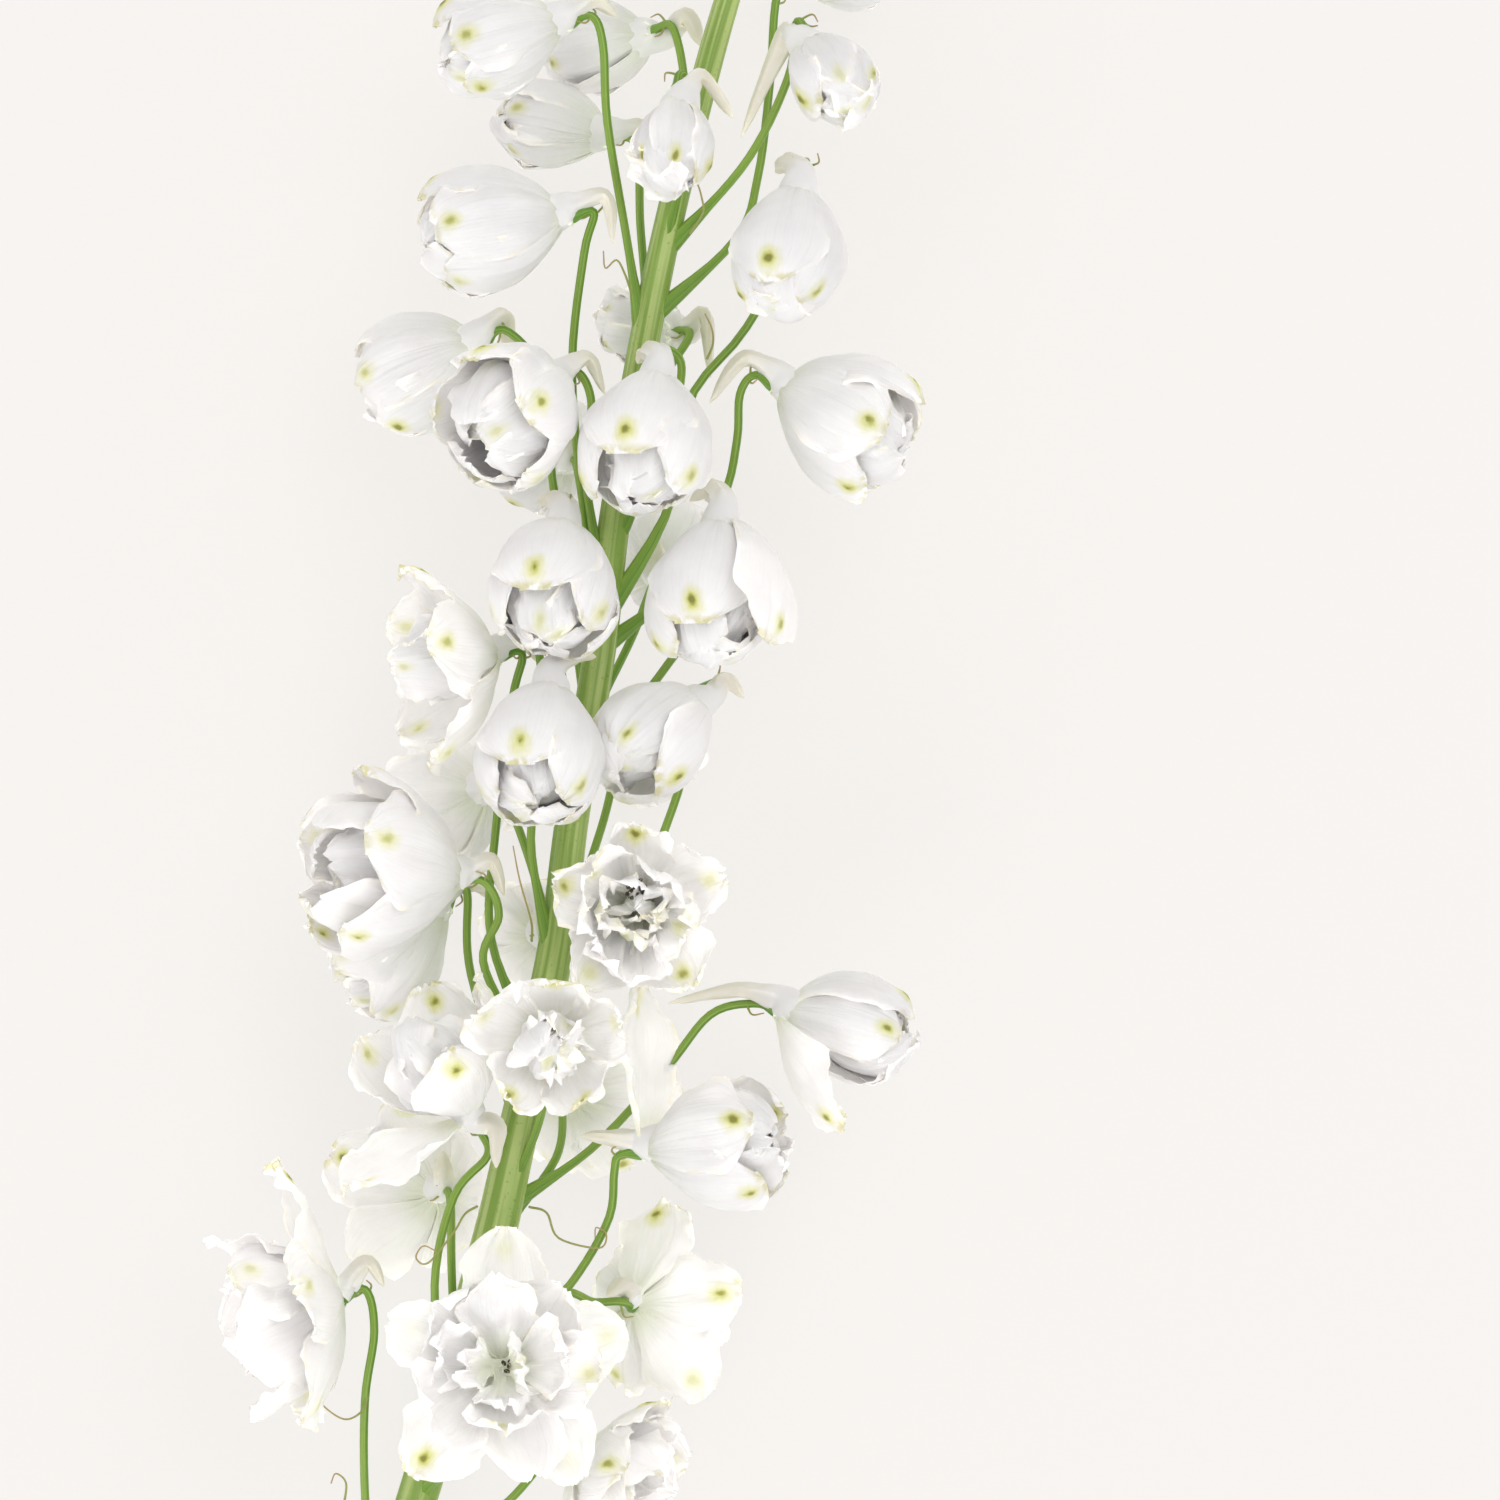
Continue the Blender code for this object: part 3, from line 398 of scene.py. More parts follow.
# Where each bloom sits, which way its mouth faces, which side its uppermost sepal is on, the length
# of its sepals, how far it is open (0 a closed bud, 1 flat), how many inner whorls it has, where on
# the stem its pedicel starts, what that passes, and where its spur bends and ends, from its seat. A
# loose sepal is open by its own number.
Bloom = namedtuple(
    "Bloom", "name seat facing upper sepal open whorls root via spur loose", defaults=({},))
UP = (0, 1, 0)
RIGHT = (1, 0, 0)
LEFT = (-1, 0, 0)
BLOOMS = [
    Bloom("top_left", (-34.4, 145, 10), (-0.93, -0.3, 0.2), UP, 31, 0.16, 0,
          81, [(-24.6, 102, 2), (-28.4, 125, 6), (-29.2, 140, 10)],
          ((3.5, 4, -2), (8, 1, -4))),
    Bloom("top_behind", (-18, 145, -14), (-0.85, -0.12, -0.5), RIGHT, 30, 0.13, 0,
          104, [(-13, 128, -9)],
          ((5, 3, 0), (8, -3, 1))),
    Bloom("second_left", (-26, 122.6, -13), (-0.97, 0.2, -0.15), UP, 28, 0.14, 0,
          86, [(-22, 105, -7)],
          ((4, 3, -2), (7, 0, -4))),
    Bloom("top_front", (-14.4, 131.6, 12), (-0.1, -0.83, 0.55), RIGHT, 28, 0.05, 0,
          98, [(-13, 118, 5), (-12.5, 132, 8)],
          ((5, 2, -1), (11, -6, -2))),
    Bloom("top_right", (10.6, 143, 8), (0.42, -0.66, 0.62), LEFT, 28, 0.08, 0,
          99, [(-1, 117, 4), (7.6, 134, 5)],
          ((-4, -2, -2), (-12.4, -21, -4))),
    Bloom("top_right_behind", (8, 153, -9), (0.8, 0.3, -0.5), UP, 28, 0.12, 0,
          86, [(-3, 102, 0), (1.6, 115, -3), (4, 134, -8)],
          ((-4, 3, -2), (-8, 0, -4))),
    Bloom("left_cup", (-34, 106.4, 10), (-0.95, -0.2, 0.22), UP, 36, 0.19, 0,
          22, [(-34, 54, -1), (-35.6, 78, -2), (-33, 99, 7)],
          ((5.4, 3.4, 0), (6.8, -6, 1))),
    Bloom("right_hanging", (10.6, 114, 14), (-0.15, -0.87, 0.48), UP, 38, 0.06, 0,
          26, [(-16.4, 48, 2), (-12, 70, 1), (-1, 84, 1), (9, 102, 4), (11, 114, 10)],
          ((-3.6, 2.4, -2), (-5, 1, -7))),
    Bloom("left_behind", (-51.6, 83, -8), (-0.85, -0.42, -0.25), UP, 32, 0.20, 0,
          8, [(-39.4, 52, -8), (-42, 75, -10)],
          ((2, 4, -2), (3, -3, -5))),
    Bloom("left_open_cup", (-36, 74, 7), (-0.58, -0.42, 0.7), UP, 35, 0.28, 1,
          30, [(-33, 56, 3), (-31.6, 69, 5)],
          ((3.6, 4, -1), (7, -3, -2))),
    Bloom("centre_cup", (-17.4, 77, 12.6), (-0.14, -0.85, 0.5), UP, 38, 0.16, 1,
          40, [(-17, 62, 5), (-13.6, 76, 8)],
          ((-3, 2.4, -3), (-5, 0, -7))),
    Bloom("right_cup", (3.6, 73.4, 6), (0.84, -0.46, 0.3), UP, 36, 0.22, 1,
          20, [(-16, 32, -3), (-5.6, 50, -3), (-2.6, 62, 0), (-2, 71, 3)],
          ((-5, 4.5, 0), (-11.6, -4.4, 1))),
    Bloom("upper_behind", (-14, 84, -12), (-0.6, 0.15, -0.75), RIGHT, 25, 0.12, 0,
          60, [(-18, 74, -8)],
          ((5, 3, 1), (6, -9, 3))),
    Bloom("front_cup", (-36.4, 47.5, 11), (-0.12, -0.82, 0.56), UP, 36, 0.19, 1,
          0, [(-42, 18, 2), (-38, 40, 3)],
          ((-3, 2.4, -2), (-6, 2, -5))),
    Bloom("right_hanging_low", (-5, 48.4, 12), (-0.12, -0.87, 0.47), UP, 41, 0.07, 0,
          -5, [(-18, 15, 0), (-4, 36, 0), (-3, 47, 7)],
          ((-3, 3.6, -1), (-7, 1, -2)), {4: 0.3}),
    Bloom("left_double_high", (-48.4, 19, 2), (-0.93, -0.1, 0.33), UP, 32, 0.50, 2,
          -60, [(-51.6, -38, 3), (-50.8, -16, 2), (-47.6, 10, -2)],
          ((4, 2, -3), (7, -2, -6))),
    Bloom("front_cup_low", (-38.6, 15.5, 14.4), (-0.14, -0.84, 0.52), UP,
          38, 0.14, 1, -43, [(-43.6, -16, 7), (-37, 6, 7)],
          ((4, 3.4, -2), (8, 3, -4))),
    Bloom("right_cup_low", (-8.8, 12, 2), (-0.62, -0.5, 0.6), RIGHT, 36, 0.10, 0,
          -45, [(-22, -25, 0), (-15.6, -12, -1), (-10, 7, -2)],
          ((4, 2, 0), (7.6, -1.6, 0.6))),
    Bloom("left_double", (-55.4, -26, 9), (-0.9, 0.12, 0.42), UP, 38, 0.34, 1,
          -62, [(-53, -43, 6), (-50, -33, 7)],
          ((4, 4, -1), (6.4, -3, -2))),
    Bloom("right_double", (-22.5, -30, 18), (0.05, -0.08, 0.99), UP, 24, 0.66, 2,
          -60, [(-30, -43, 8)],
          ((1, 3, -5), (3, 2, -9))),
    Bloom("left_lower_cup", (-59.5, -30, -10), (-0.76, -0.58, -0.08), UP, 32, 0.30, 1,
          -75, [(-56, -45, -5)],
          ((4, 3, -2), (7, 0, -5))),
    Bloom("left_double_low", (-55, -74, 6.6), (-0.47, 0.75, 0.38), (0.3, 0, 1), 33, 0.42, 2,
          -130, [(-63, -107, 2), (-59, -89, 5), (-52.4, -81, 5)],
          ((4.4, -1, 4), (4.6, -9, 4)), {4: 0.9}),
    Bloom("front_double", (-39, -57, 19), (0, -0.1, 0.99), UP, 24, 0.52, 2,
          -92, [(-42, -74, 7)],
          ((1, 3, -5), (2, 2, -9))),
    Bloom("right_bud_low", (3.6, -51.4, 2), (0.95, -0.25, 0.18), UP, 33, 0.10, 0,
          -92, [(-32, -80, 0), (-17, -64, 0), (-8, -53, 0)],
          ((-7, 3.4, 0), (-20, 0.8, 0)), {2: 0.55}),
    Bloom("right_open_cup", (-23, -80, 10), (0.93, 0.14, 0.34), UP, 35, 0.24, 1,
          -128, [(-40.4, -111, 4), (-34, -104, 5), (-28, -93, 6), (-27, -84, 7)],
          ((-4.6, 3, 1), (-10.6, 3.4, 1)), {0: 0.9}),
    Bloom("far_left_open", (-79.6, -108.6, 4), (-0.9, -0.3, 0.2), UP, 33, 0.66, 1,
          -178, [(-77.4, -150, -8), (-77, -130, 0), (-75, -116, 3)],
          ((3.4, 6.4, 0), (6.6, 1.6, 0.5)), {0: 0.95}),
    Bloom("front_open", (-49, -122, 17), (0.02, 0.06, 0.99), UP, 29, 0.95, 2,
          -150, [(-56, -138, 8)],
          ((0, 3.6, -5), (0, 4, -10))),
    Bloom("right_turned_away", (-24.6, -111, -4), (0.5, -0.2, -0.84), UP, 25, 0.70, 1,
          -135, [(-41, -110, 0), (-31, -110.6, -2)],
          ((-1, 4, 4), (-4, 2, 7))),
    Bloom("right_lowest", (-36, -141, -4), (0.75, -0.35, 0.3), UP, 27, 0.66, 1,
          -168, [(-50, -152, -4)],
          ((-4, 3.4, -1), (-8, 1, -2))),
    Bloom("back_upper", (-36, 58, -12), (-0.3, 0.1, -0.95), UP, 28, 0.30, 0,
          25, [(-33, 46, -7)],
          ((0, 5, 1), (0, 9, 2))),
    Bloom("back_right_upper", (-19, 34, -12), (0.2, 0.2, -0.95), UP, 28, 0.30, 0,
          5, [(-24, 22, -7)],
          ((0, 5, 1), (0, 9, 2))),
    Bloom("back_left_middle", (-52, -8, -10), (-0.5, -0.2, -0.8), UP, 29, 0.35, 0,
          -40, [(-45, -20, -7)],
          ((0, 5, 1), (0, 9, 2))),
    Bloom("back_right_middle", (-26, -2, -12), (0.25, 0.1, -0.95), UP, 27, 0.32, 0,
          -45, [(-30, -16, -8)],
          ((0, 5, 1), (0, 9, 2))),
    Bloom("back_middle", (-42, -38, -13), (0.0, 0.0, -1.0), UP, 28, 0.40, 0,
          -62, [(-42, -50, -8)],
          ((0, 5, 1), (0, 9, 2))),
    Bloom("back_right_low", (-37, -70, -12), (0.3, -0.1, -0.93), UP, 28, 0.45, 0,
          -98, [(-39, -82, -7)],
          ((0, 5, 1), (0, 9, 2))),
    Bloom("back_left_low", (-62, -90, -10), (-0.45, 0.0, -0.88), UP, 29, 0.50, 0,
          -125, [(-60, -104, -8)],
          ((0, 5, 1), (0, 9, 2))),
]

white_petal = Finish("white_petal", 0.5, Subsurface_Weight=0.8, Subsurface_Radius=(1.0, 0.97, 0.92),
                     Subsurface_Scale=0.0013, Specular_IOR_Level=0.3)
white_petal.shader.subsurface_method = "BURLEY"
across, along, strength = white_petal.attribute("petal_share")
off_middle, from_tip, from_foot = white_petal.attribute("petal_place")
age, spur_share, _ = white_petal.attribute("petal_kind")
blotch = white_petal.grain(white_petal.place(), 420.0)
cloud = white_petal.grain(white_petal.place(), 120.0)
colour = white_petal.blend(cloud.rising(0.35, 0.7), seen(253, 252, 252), seen(247, 245, 246))
colour = white_petal.blend(from_foot.rising(12.0, 1.0) * (0.2 + 0.6 * cloud), colour,
                           seen(214, 224, 170))
wander = white_petal.grain(white_petal.vector(off_middle * 0.03, from_tip * 0.03, strength), 2.0)
ray = across * 7.0 + (wander - 0.5) * 0.8
vein = abs(ray.sum("FRACT", ray) - 0.5).rising(0.14, 0.0)
fork = ray * 2.0 + wander
vein = vein.sum("MAXIMUM", vein, abs(fork.sum("FRACT", fork) - 0.5).rising(0.12, 0.0)
                * along.rising(0.3, 0.55) * 0.7)
colour = white_petal.blend(vein * 0.12, colour, seen(232, 233, 220))
rim = abs(across).rising(0.82, 1.0) * blotch.rising(0.4, 0.62)
colour = white_petal.blend(rim * 0.55 * age, colour, seen(238, 228, 196))
worn_tip = from_tip.rising(2.6, 0.3) * blotch.rising(0.4, 0.6) * strength
colour = white_petal.blend(worn_tip * 0.7, colour, seen(206, 200, 124))
sideways = off_middle / GLAND_WIDTH
lengthways = (from_tip - GLAND_FROM_TIP) / GLAND_LENGTH
reach = (sideways * sideways + lengthways * lengthways) ** 0.5 + (blotch - 0.5) * 1.1
colour = white_petal.blend(reach.rising(2.0, 0.2) * strength * 0.9, colour, seen(226, 226, 140))
colour = white_petal.blend(reach.rising(0.9, 0.1) * strength.rising(0.2, 1.0), colour,
                           seen(192, 194, 92))
colour = white_petal.blend(reach.rising(0.5, 0.1) * strength.rising(0.55, 1.0), colour,
                           seen(140, 138, 72))
dry = spur_share * (0.5 + 0.5 * blotch)
colour = white_petal.blend(dry, colour, seen(233, 227, 206))
white_petal.set(Base_Color=colour, Roughness=0.46 + 0.14 * blotch)
pleats = white_petal.grain(white_petal.vector(across * 2.4, along * 0.5, strength * 9.0), 2.2)
white_petal.relief(pleats * 2.4 + vein * -0.1 + blotch * 0.35, 0.0003)


def petal_surface(length, width, opened, azimuth, height, closer=0.0, outside=0.0,
                  most_arc=MOST_ARC, reach=1.0, tip_wrap=SMALLEST_WRAP):
    """The middle surface of one petal of a bloom that faces +Z, as a function of s across it
    (-1 to 1), t along it (0 to 1) and the share of its full width there. Its midrib starts at that
    height, leans away from the bloom's axis and then turns in, the more so the less it has opened,
    and by closer degrees more at its tip. Each petal lies over one neighbour and under the other,
    and the distance outside further out. It goes no further round the bloom than most_arc, ends at
    the share reach of its curve, and its tip is rolled no tighter than tip_wrap."""
    base_angle = mix(BASE_ANGLE_CLOSED, BASE_ANGLE_OPEN, opened)
    tip_angle = mix(TIP_ANGLE_CLOSED, TIP_ANGLE_OPEN, opened) - closer
    late = mix(TURNS_IN_LATE_CLOSED, TURNS_IN_LATE_OPEN, opened)
    curl = TIP_CURL * (1 - opened)
    radius = ROOT_RADIUS
    midrib = [(radius, height)]

    def angle_at(t):
        return math.radians(mix(base_angle, tip_angle, t**late) - curl * rising(0.86, 1.0, t))

    for i in range(MIDRIB_STEPS):
        angle = angle_at((i + 0.5) / MIDRIB_STEPS)
        radius += math.sin(angle) * length / MIDRIB_STEPS
        height += math.cos(angle) * length / MIDRIB_STEPS
        midrib.append((radius, height))
    turn = Matrix.Rotation(azimuth, 3, "Z")

    def at(s, t, share):
        t *= reach
        place = t * MIDRIB_STEPS
        i = min(int(place), MIDRIB_STEPS - 1)
        r = mix(midrib[i][0], midrib[i + 1][0], place - i)
        h = mix(midrib[i][1], midrib[i + 1][1], place - i)
        angle = angle_at(t)
        wrap = max(r, mix(SMALLEST_WRAP, tip_wrap, rising(0.25, 0.65, t)))
        arc = s * min(most_arc, share * width / 2 / wrap)
        inward = wrap * (1 - math.cos(arc)) - OVERLAP * s * min(1.0, 2 * share)
        inward -= outside * rising(0.05, 0.35, t)
        r -= inward * math.cos(angle)
        h += inward * math.sin(angle)
        return turn @ Vector((r, wrap * math.sin(arc), h))

    return at


def petals():
    """An empty bmesh with the attributes of a petal: the shares across and along it with its
    gland's strength, then the millimetres off its midrib, from its tip and from its foot, and
    then its age and the share of spur in it."""
    bm = bmesh.new()
    for name in PETAL_ATTRIBUTES:
        bm.verts.layers.float_vector.new(name)
    return bm


def add_petal(bm, surface, length, width, grid, ruffle, crumple, gland, draw):
    """Adds one thin petal to the bmesh: a blade on the surface, with its torn and rounded end, its
    waved and frilled rim, its soft crumples and folds, and the little bulge of its gland."""
    shares, places, kinds = [bm.verts.layers.float_vector[name] for name in PETAL_ATTRIBUTES]
    seed = draw.uniform(0, 50)
    waves = [draw.uniform(*WAVES) for _ in range(2)]
    starts = [draw.uniform(0, 1) for _ in range(2)]
    fold = draw.uniform(0, 2 * math.pi)
    fullness = draw.uniform(*FULLNESS)
    age = draw.uniform(0.2, 1.0)
    blade = bmesh.ops.create_grid(bm, x_segments=grid[0], y_segments=grid[1], size=1.0)["verts"]
    pushes = []
    for vert in blade:
        s, t = vert.co.x, math.sin(math.pi / 2 * (vert.co.y + 1) / 2) ** ROW_SPACING
        torn = noise.noise(Vector((3 * s, 13 * t, seed))) * rising(0.45, 0.85, t)
        round_end = max(0.06, math.sin(math.pi * min(t, 0.997) ** fullness)) ** TIP_ROUNDNESS
        share = min(CLAW_SHARE * (1 - t) ** 2 + round_end, 1.0) * (1 + TEAR_DEPTH * torn)
        side = int(s > 0)
        wave = math.sin(2 * math.pi * (waves[side] * t + starts[side]))
        frill = math.sin(2 * math.pi * (FRILLS * t + starts[side])) * abs(s) ** 5
        frill *= rising(0.4, 0.7, t)
        frill += math.sin(2 * math.pi * (1.6 * s + starts[0])) * rising(0.88, 1.0, t)
        push = ruffle * (abs(s) ** 3 * rising(0.25, 0.75, t) * wave + 0.3 * frill)
        push += crumple * rising(0.1, 0.5, t) * (
            noise.noise(Vector((1.7 * s + seed, 2.6 * t, seed)))
            + 0.35 * noise.noise(Vector((4.5 * s, 6 * t, seed))))
        push += FOLD_DEPTH * math.cos(2.2 * math.pi * s + fold) * math.sin(math.pi * t)
        push -= MIDRIB_DEPTH * math.exp(-(s / MIDRIB_WIDTH) ** 2) * (1 - t)
        off = s * share * width / 2
        from_gland = off**2 + ((1 - t) * length - GLAND_FROM_TIP) ** 2
        push += GLAND_BULGE * gland * math.exp(-from_gland / 3)
        pushes.append(push)
        vert[shares] = (s, t, gland)
        vert[places] = (off, (1 - t) * length, t * length)
        vert[kinds] = (age, 0.0, 0.0)
        vert.co = surface(s, t, share)
    bm.normal_update()
    for vert, push in zip(blade, pushes):
        vert.co += vert.normal * push
    # The back of the blade is a copy of its front, set apart from it and joined to it at the rim.
    front = list({face for vert in blade for face in vert.link_faces})
    rim = [vert for vert in blade if vert.is_boundary]
    depths = {vert: vert.normal * BLADE_THICKNESS / 2 for vert in blade if not vert.is_boundary}
    copied = bmesh.ops.duplicate(bm, geom=front)
    for vert, depth in depths.items():
        copied["vert_map"][vert].co -= depth
        vert.co += depth
    back = [item for item in copied["geom"] if isinstance(item, bmesh.types.BMFace)]
    bmesh.ops.reverse_faces(bm, faces=back)
    joints = {copied["vert_map"][vert]: vert for vert in rim}
    bmesh.ops.weld_verts(bm, targetmap=joints)


def bloom_frame(seat, facing, upper):
    """The placing of a bloom: its axis along facing, its uppermost sepal on the upper side."""
    axis = Vector(facing).normalized()
    upper = Vector(upper)
    upper = (upper - axis * upper.dot(axis)).normalized()
    turn = Matrix((upper.cross(axis), upper, axis)).transposed().to_4x4()
    return Matrix.Translation(Vector(seat)) @ turn


def add_sepals(bm, bloom, draw):
    """The five sepals. The uppermost one of a cup lies over its neighbours as a broad hood, which
    is shorter where it would hide the mouth. A wide open bloom shows one clear gland."""
    cup = bloom.open < CUP_UP_TO
    wide_open = bloom.open >= WIDE_OPEN
    loose = 0.02 if cup else 0.1
    for i in range(SEPAL_COUNT):
        opened = bloom.loose.get(i, bloom.open) + draw.uniform(-loose, loose)
        length = bloom.sepal * draw.uniform(1 - loose, 1.03)
        width = length * (OPEN_SEPAL_WIDTH if wide_open else SEPAL_WIDTH)
        outside, most_arc, reach = 0.0, MOST_ARC, 1.0
        if i == 0 and cup:
            outside, most_arc = HOOD_OUTSIDE, HOOD_ARC
            if bloom.facing[2] > FACES_UP:
                reach = HOOD_REACH
        elif i in (2, 3) and cup:
            outside = LOWER_INSIDE
        azimuth = math.pi / 2 + (i + draw.uniform(-loose, loose)) * 2 * math.pi / SEPAL_COUNT
        surface = petal_surface(length, width, opened, azimuth, ROOT_HEIGHT, outside=outside,
                                most_arc=most_arc, reach=reach)
        gland = draw.uniform(0.35, 0.95) * (0.4 if wide_open else 1.0)
        if i == (2 if wide_open else 0):
            gland = 1.0
        ruffle = 0.4 + 1.6 * max(opened, 0.0)
        crumple = 0.5 + 1.5 * max(opened, 0.0)
        add_petal(bm, surface, length * reach, width, SEPAL_GRID, ruffle, crumple, gland, draw)


def add_inner_petals(bm, bloom, draw):
    """One whorl more than the table has, because the smallest petals lie crumpled at the heart, and
    two at least in a bloom that is still a cup, where they line it and close its mouth. In an open
    bloom they lie at all angles."""
    cup = bloom.open < CUP_UP_TO
    loose = 0.0 if cup else 1.0
    for whorl in range(1, max(bloom.whorls + 2, 2 + cup)):
        count = WHORL_COUNTS[whorl]
        for i in range(count):
            opened = max(0.0, bloom.open - (CUP_CLOSING if cup else WHORL_CLOSING) * whorl)
            opened += draw.uniform(-0.04 - 0.08 * loose, 0.06 + 0.1 * loose)
            closer = loose * draw.uniform(*HEART_CLOSER)
            if bloom.open > HALF_OPEN:
                closer *= OPEN_HEART_SHARE
            if cup:
                closer = LINING_CLOSERS[i] + LINING_STEP * (whorl - 1)
            length = bloom.sepal * WHORL_LENGTHS[whorl] * draw.uniform(0.96 - 0.16 * loose, 1.06)
            width = length * SEPAL_WIDTH * draw.uniform(0.95, 1.25 + 0.15 * loose)
            turned = i + 0.5 * (whorl - cup) + draw.uniform(-0.15, 0.15) * (1 + loose)
            height = ROOT_HEIGHT + WHORL_STEP * whorl + LINING_HEIGHT * cup
            azimuth = math.pi / 2 + turned * 2 * math.pi / count
            surface = petal_surface(length, width, opened, azimuth, height, closer=closer,
                                    tip_wrap=INNER_TIP_WRAP)
            gland = draw.choice((0.0, 0.0, 0.5))
            add_petal(bm, surface, length, width, INNER_GRID, 1.2 + 0.5 * loose, 1.8 + 0.8 * loose,
                      gland, draw)


# The spurs: the uppermost sepal of each bloom is drawn out behind it into a thin, wrinkled, dry,
# cream-coloured tube, flattened and bent over the pedicel, where the nectar is.
SPUR_START = ((0.6, 9.0), (1.2, 4.6), (2.3, 0.4))
SPUR_RADII = (4.4, 4.0, 2.6, 2.0, 0.8)
SPUR_FLATNESS = 0.72
SPUR_FOLDS, SPUR_FOLD_DEPTH = 5, 0.12
SPUR_CRUMPLE, SPUR_PINCH = 0.3, 0.25
SPUR_END_NARROWING = 0.8
OPEN_SPUR_RISE, OPEN_SPUR_GIRTH = 0.2, 0.5
SPUR_SIDES = 22
SPUR_RINGS = 26


def add_spur(bm, bloom, placing, draw):
    """Adds a spur that starts inside the bloom, as a cone that carries on the hood of a cup, and
    passes the places in the table."""
    shares, places, kinds = [bm.verts.layers.float_vector[name] for name in PETAL_ATTRIBUTES]
    turn = placing.to_3x3().inverted()
    shut = rising(0.7, 0.3, bloom.open)
    line = [Vector((0, out, up * mix(OPEN_SPUR_RISE, 1.0, shut))) for out, up in SPUR_START]
    line += [turn @ Vector(point) for point in bloom.spur]
    route = [through(line, i / SPUR_RINGS) for i in range(SPUR_RINGS + 1)]
    radii = [Vector((radius, 0, 0)) for radius in SPUR_RADII]
    seed = draw.uniform(0, 50)
    pairs = sides_along(route, Vector((1, 0, 0)))
    skin = bmesh.ops.create_grid(
        bm, x_segments=SPUR_SIDES, y_segments=SPUR_RINGS, size=1.0)["verts"]
    for vert in skin:
        ring = round((vert.co.y + 1) / 2 * SPUR_RINGS)
        share = ring / SPUR_RINGS
        angle = math.pi * (vert.co.x + 1)
        bend = noise.noise(Vector((3 * share, seed, 0)))
        folds = math.cos(SPUR_FOLDS * angle + SPUR_FOLDS * bend) * SPUR_FOLD_DEPTH
        folds += SPUR_CRUMPLE * noise.noise(
            Vector((1.8 * math.cos(angle), 1.8 * math.sin(angle), 4 * share + seed)))
        pinch = SPUR_PINCH * noise.noise(Vector((seed, 9 * share, 0.5 * math.cos(angle))))
        radius = through(radii, share).x * (1 + (folds + pinch) * rising(0.3, 0.6, share))
        radius *= 1 - SPUR_END_NARROWING * rising(0.94, 1.0, share)
        radius *= mix(mix(OPEN_SPUR_GIRTH, 1.0, shut), 1.0, rising(0.2, 0.6, share))
        flat = mix(1.0, SPUR_FLATNESS, rising(0.4, 0.7, share))
        # A spur is far from any gland, and its greenish foot ends at a quarter of its length.
        vert[shares] = (0.0, 0.0, 0.0)
        vert[places] = (3.0, 20.0, 9.0 + 12.0 * share)
        vert[kinds] = (1.0, rising(0.4, 0.8, share), 0.0)
        side, over = pairs[ring]
        vert.co = route[ring] + (side * math.cos(angle) + over * (flat * math.sin(angle))) * radius
    close_tube(bm, skin)


def piece(name, bm, finish, slot, *nodes):
    """A finished piece of the spike from a bmesh in millimetres, in place of the nodes."""
    mesh = bpy.data.meshes.new(name)
    bm.transform(TO_TABLE)
    bm.to_mesh(mesh)
    bm.free()
    mesh.shade_smooth()
    mesh.set_sharp_from_angle(angle=SHARP_EDGE)
    mesh.materials.append(finish.material)
    made = bpy.data.objects.new(name, mesh)
    scene.collection.objects.link(made)
    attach(made, "root")
    if nodes:
        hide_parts(*nodes)


placings = {}
for bloom in BLOOMS:
    draw = random.Random(bloom.name)
    placing = bloom_frame(bloom.seat, bloom.facing, bloom.upper)
    shape = petals()
    add_sepals(shape, bloom, draw)
    add_inner_petals(shape, bloom, draw)
    add_spur(shape, bloom, placing, draw)
    if bloom.name.startswith("back"):
        lowest = min((placing @ vert.co).z for vert in shape.verts)
        placing = Matrix.Translation((0, 0, -SURFACE_DEPTH - lowest)) @ placing
    placings[bloom.name] = placing
    shape.transform(placing)
    piece("petals_" + bloom.name, shape, white_petal, "petal_white", "bloom_" + bloom.name)

# The stamens: where a bloom has opened right up, its dark pollen sacs show at its heart, each on a
# thin pale thread and dusted with pale pollen. The numbers are how many there are, how far they
# spread, how high they stand, and where their middle is, across the bloom and up.
STAMENS = {"right_double": (14, 2.2, 13.5, (-0.4, 3.6)), "front_open": (4, 1.3, 9.0, (1, 0.4))}
SAC_LENGTH, SAC_WIDTH = 1.5, 0.85
SAC_SIDES, SAC_RINGS = 12, 8
SAC_THREAD_FOOT = Vector((0, 0, 3))
SAC_THREAD_RADIUS, SAC_THREAD_SIDES = 0.1, 6
GOLDEN_ANGLE = math.radians(137.5)

stamen = Finish("stamen", 0.6)
dust = stamen.grain(stamen.place(), 1800.0, 3.0)
in_sac, _, _ = stamen.attribute("in_sac")
sac_colour = stamen.blend(dust.rising(0.52, 0.62), seen(58, 54, 44), seen(196, 190, 166))
stamen.set(Base_Color=stamen.blend(in_sac, seen(226, 226, 204), sac_colour))
stamen.relief(dust, 0.0002)

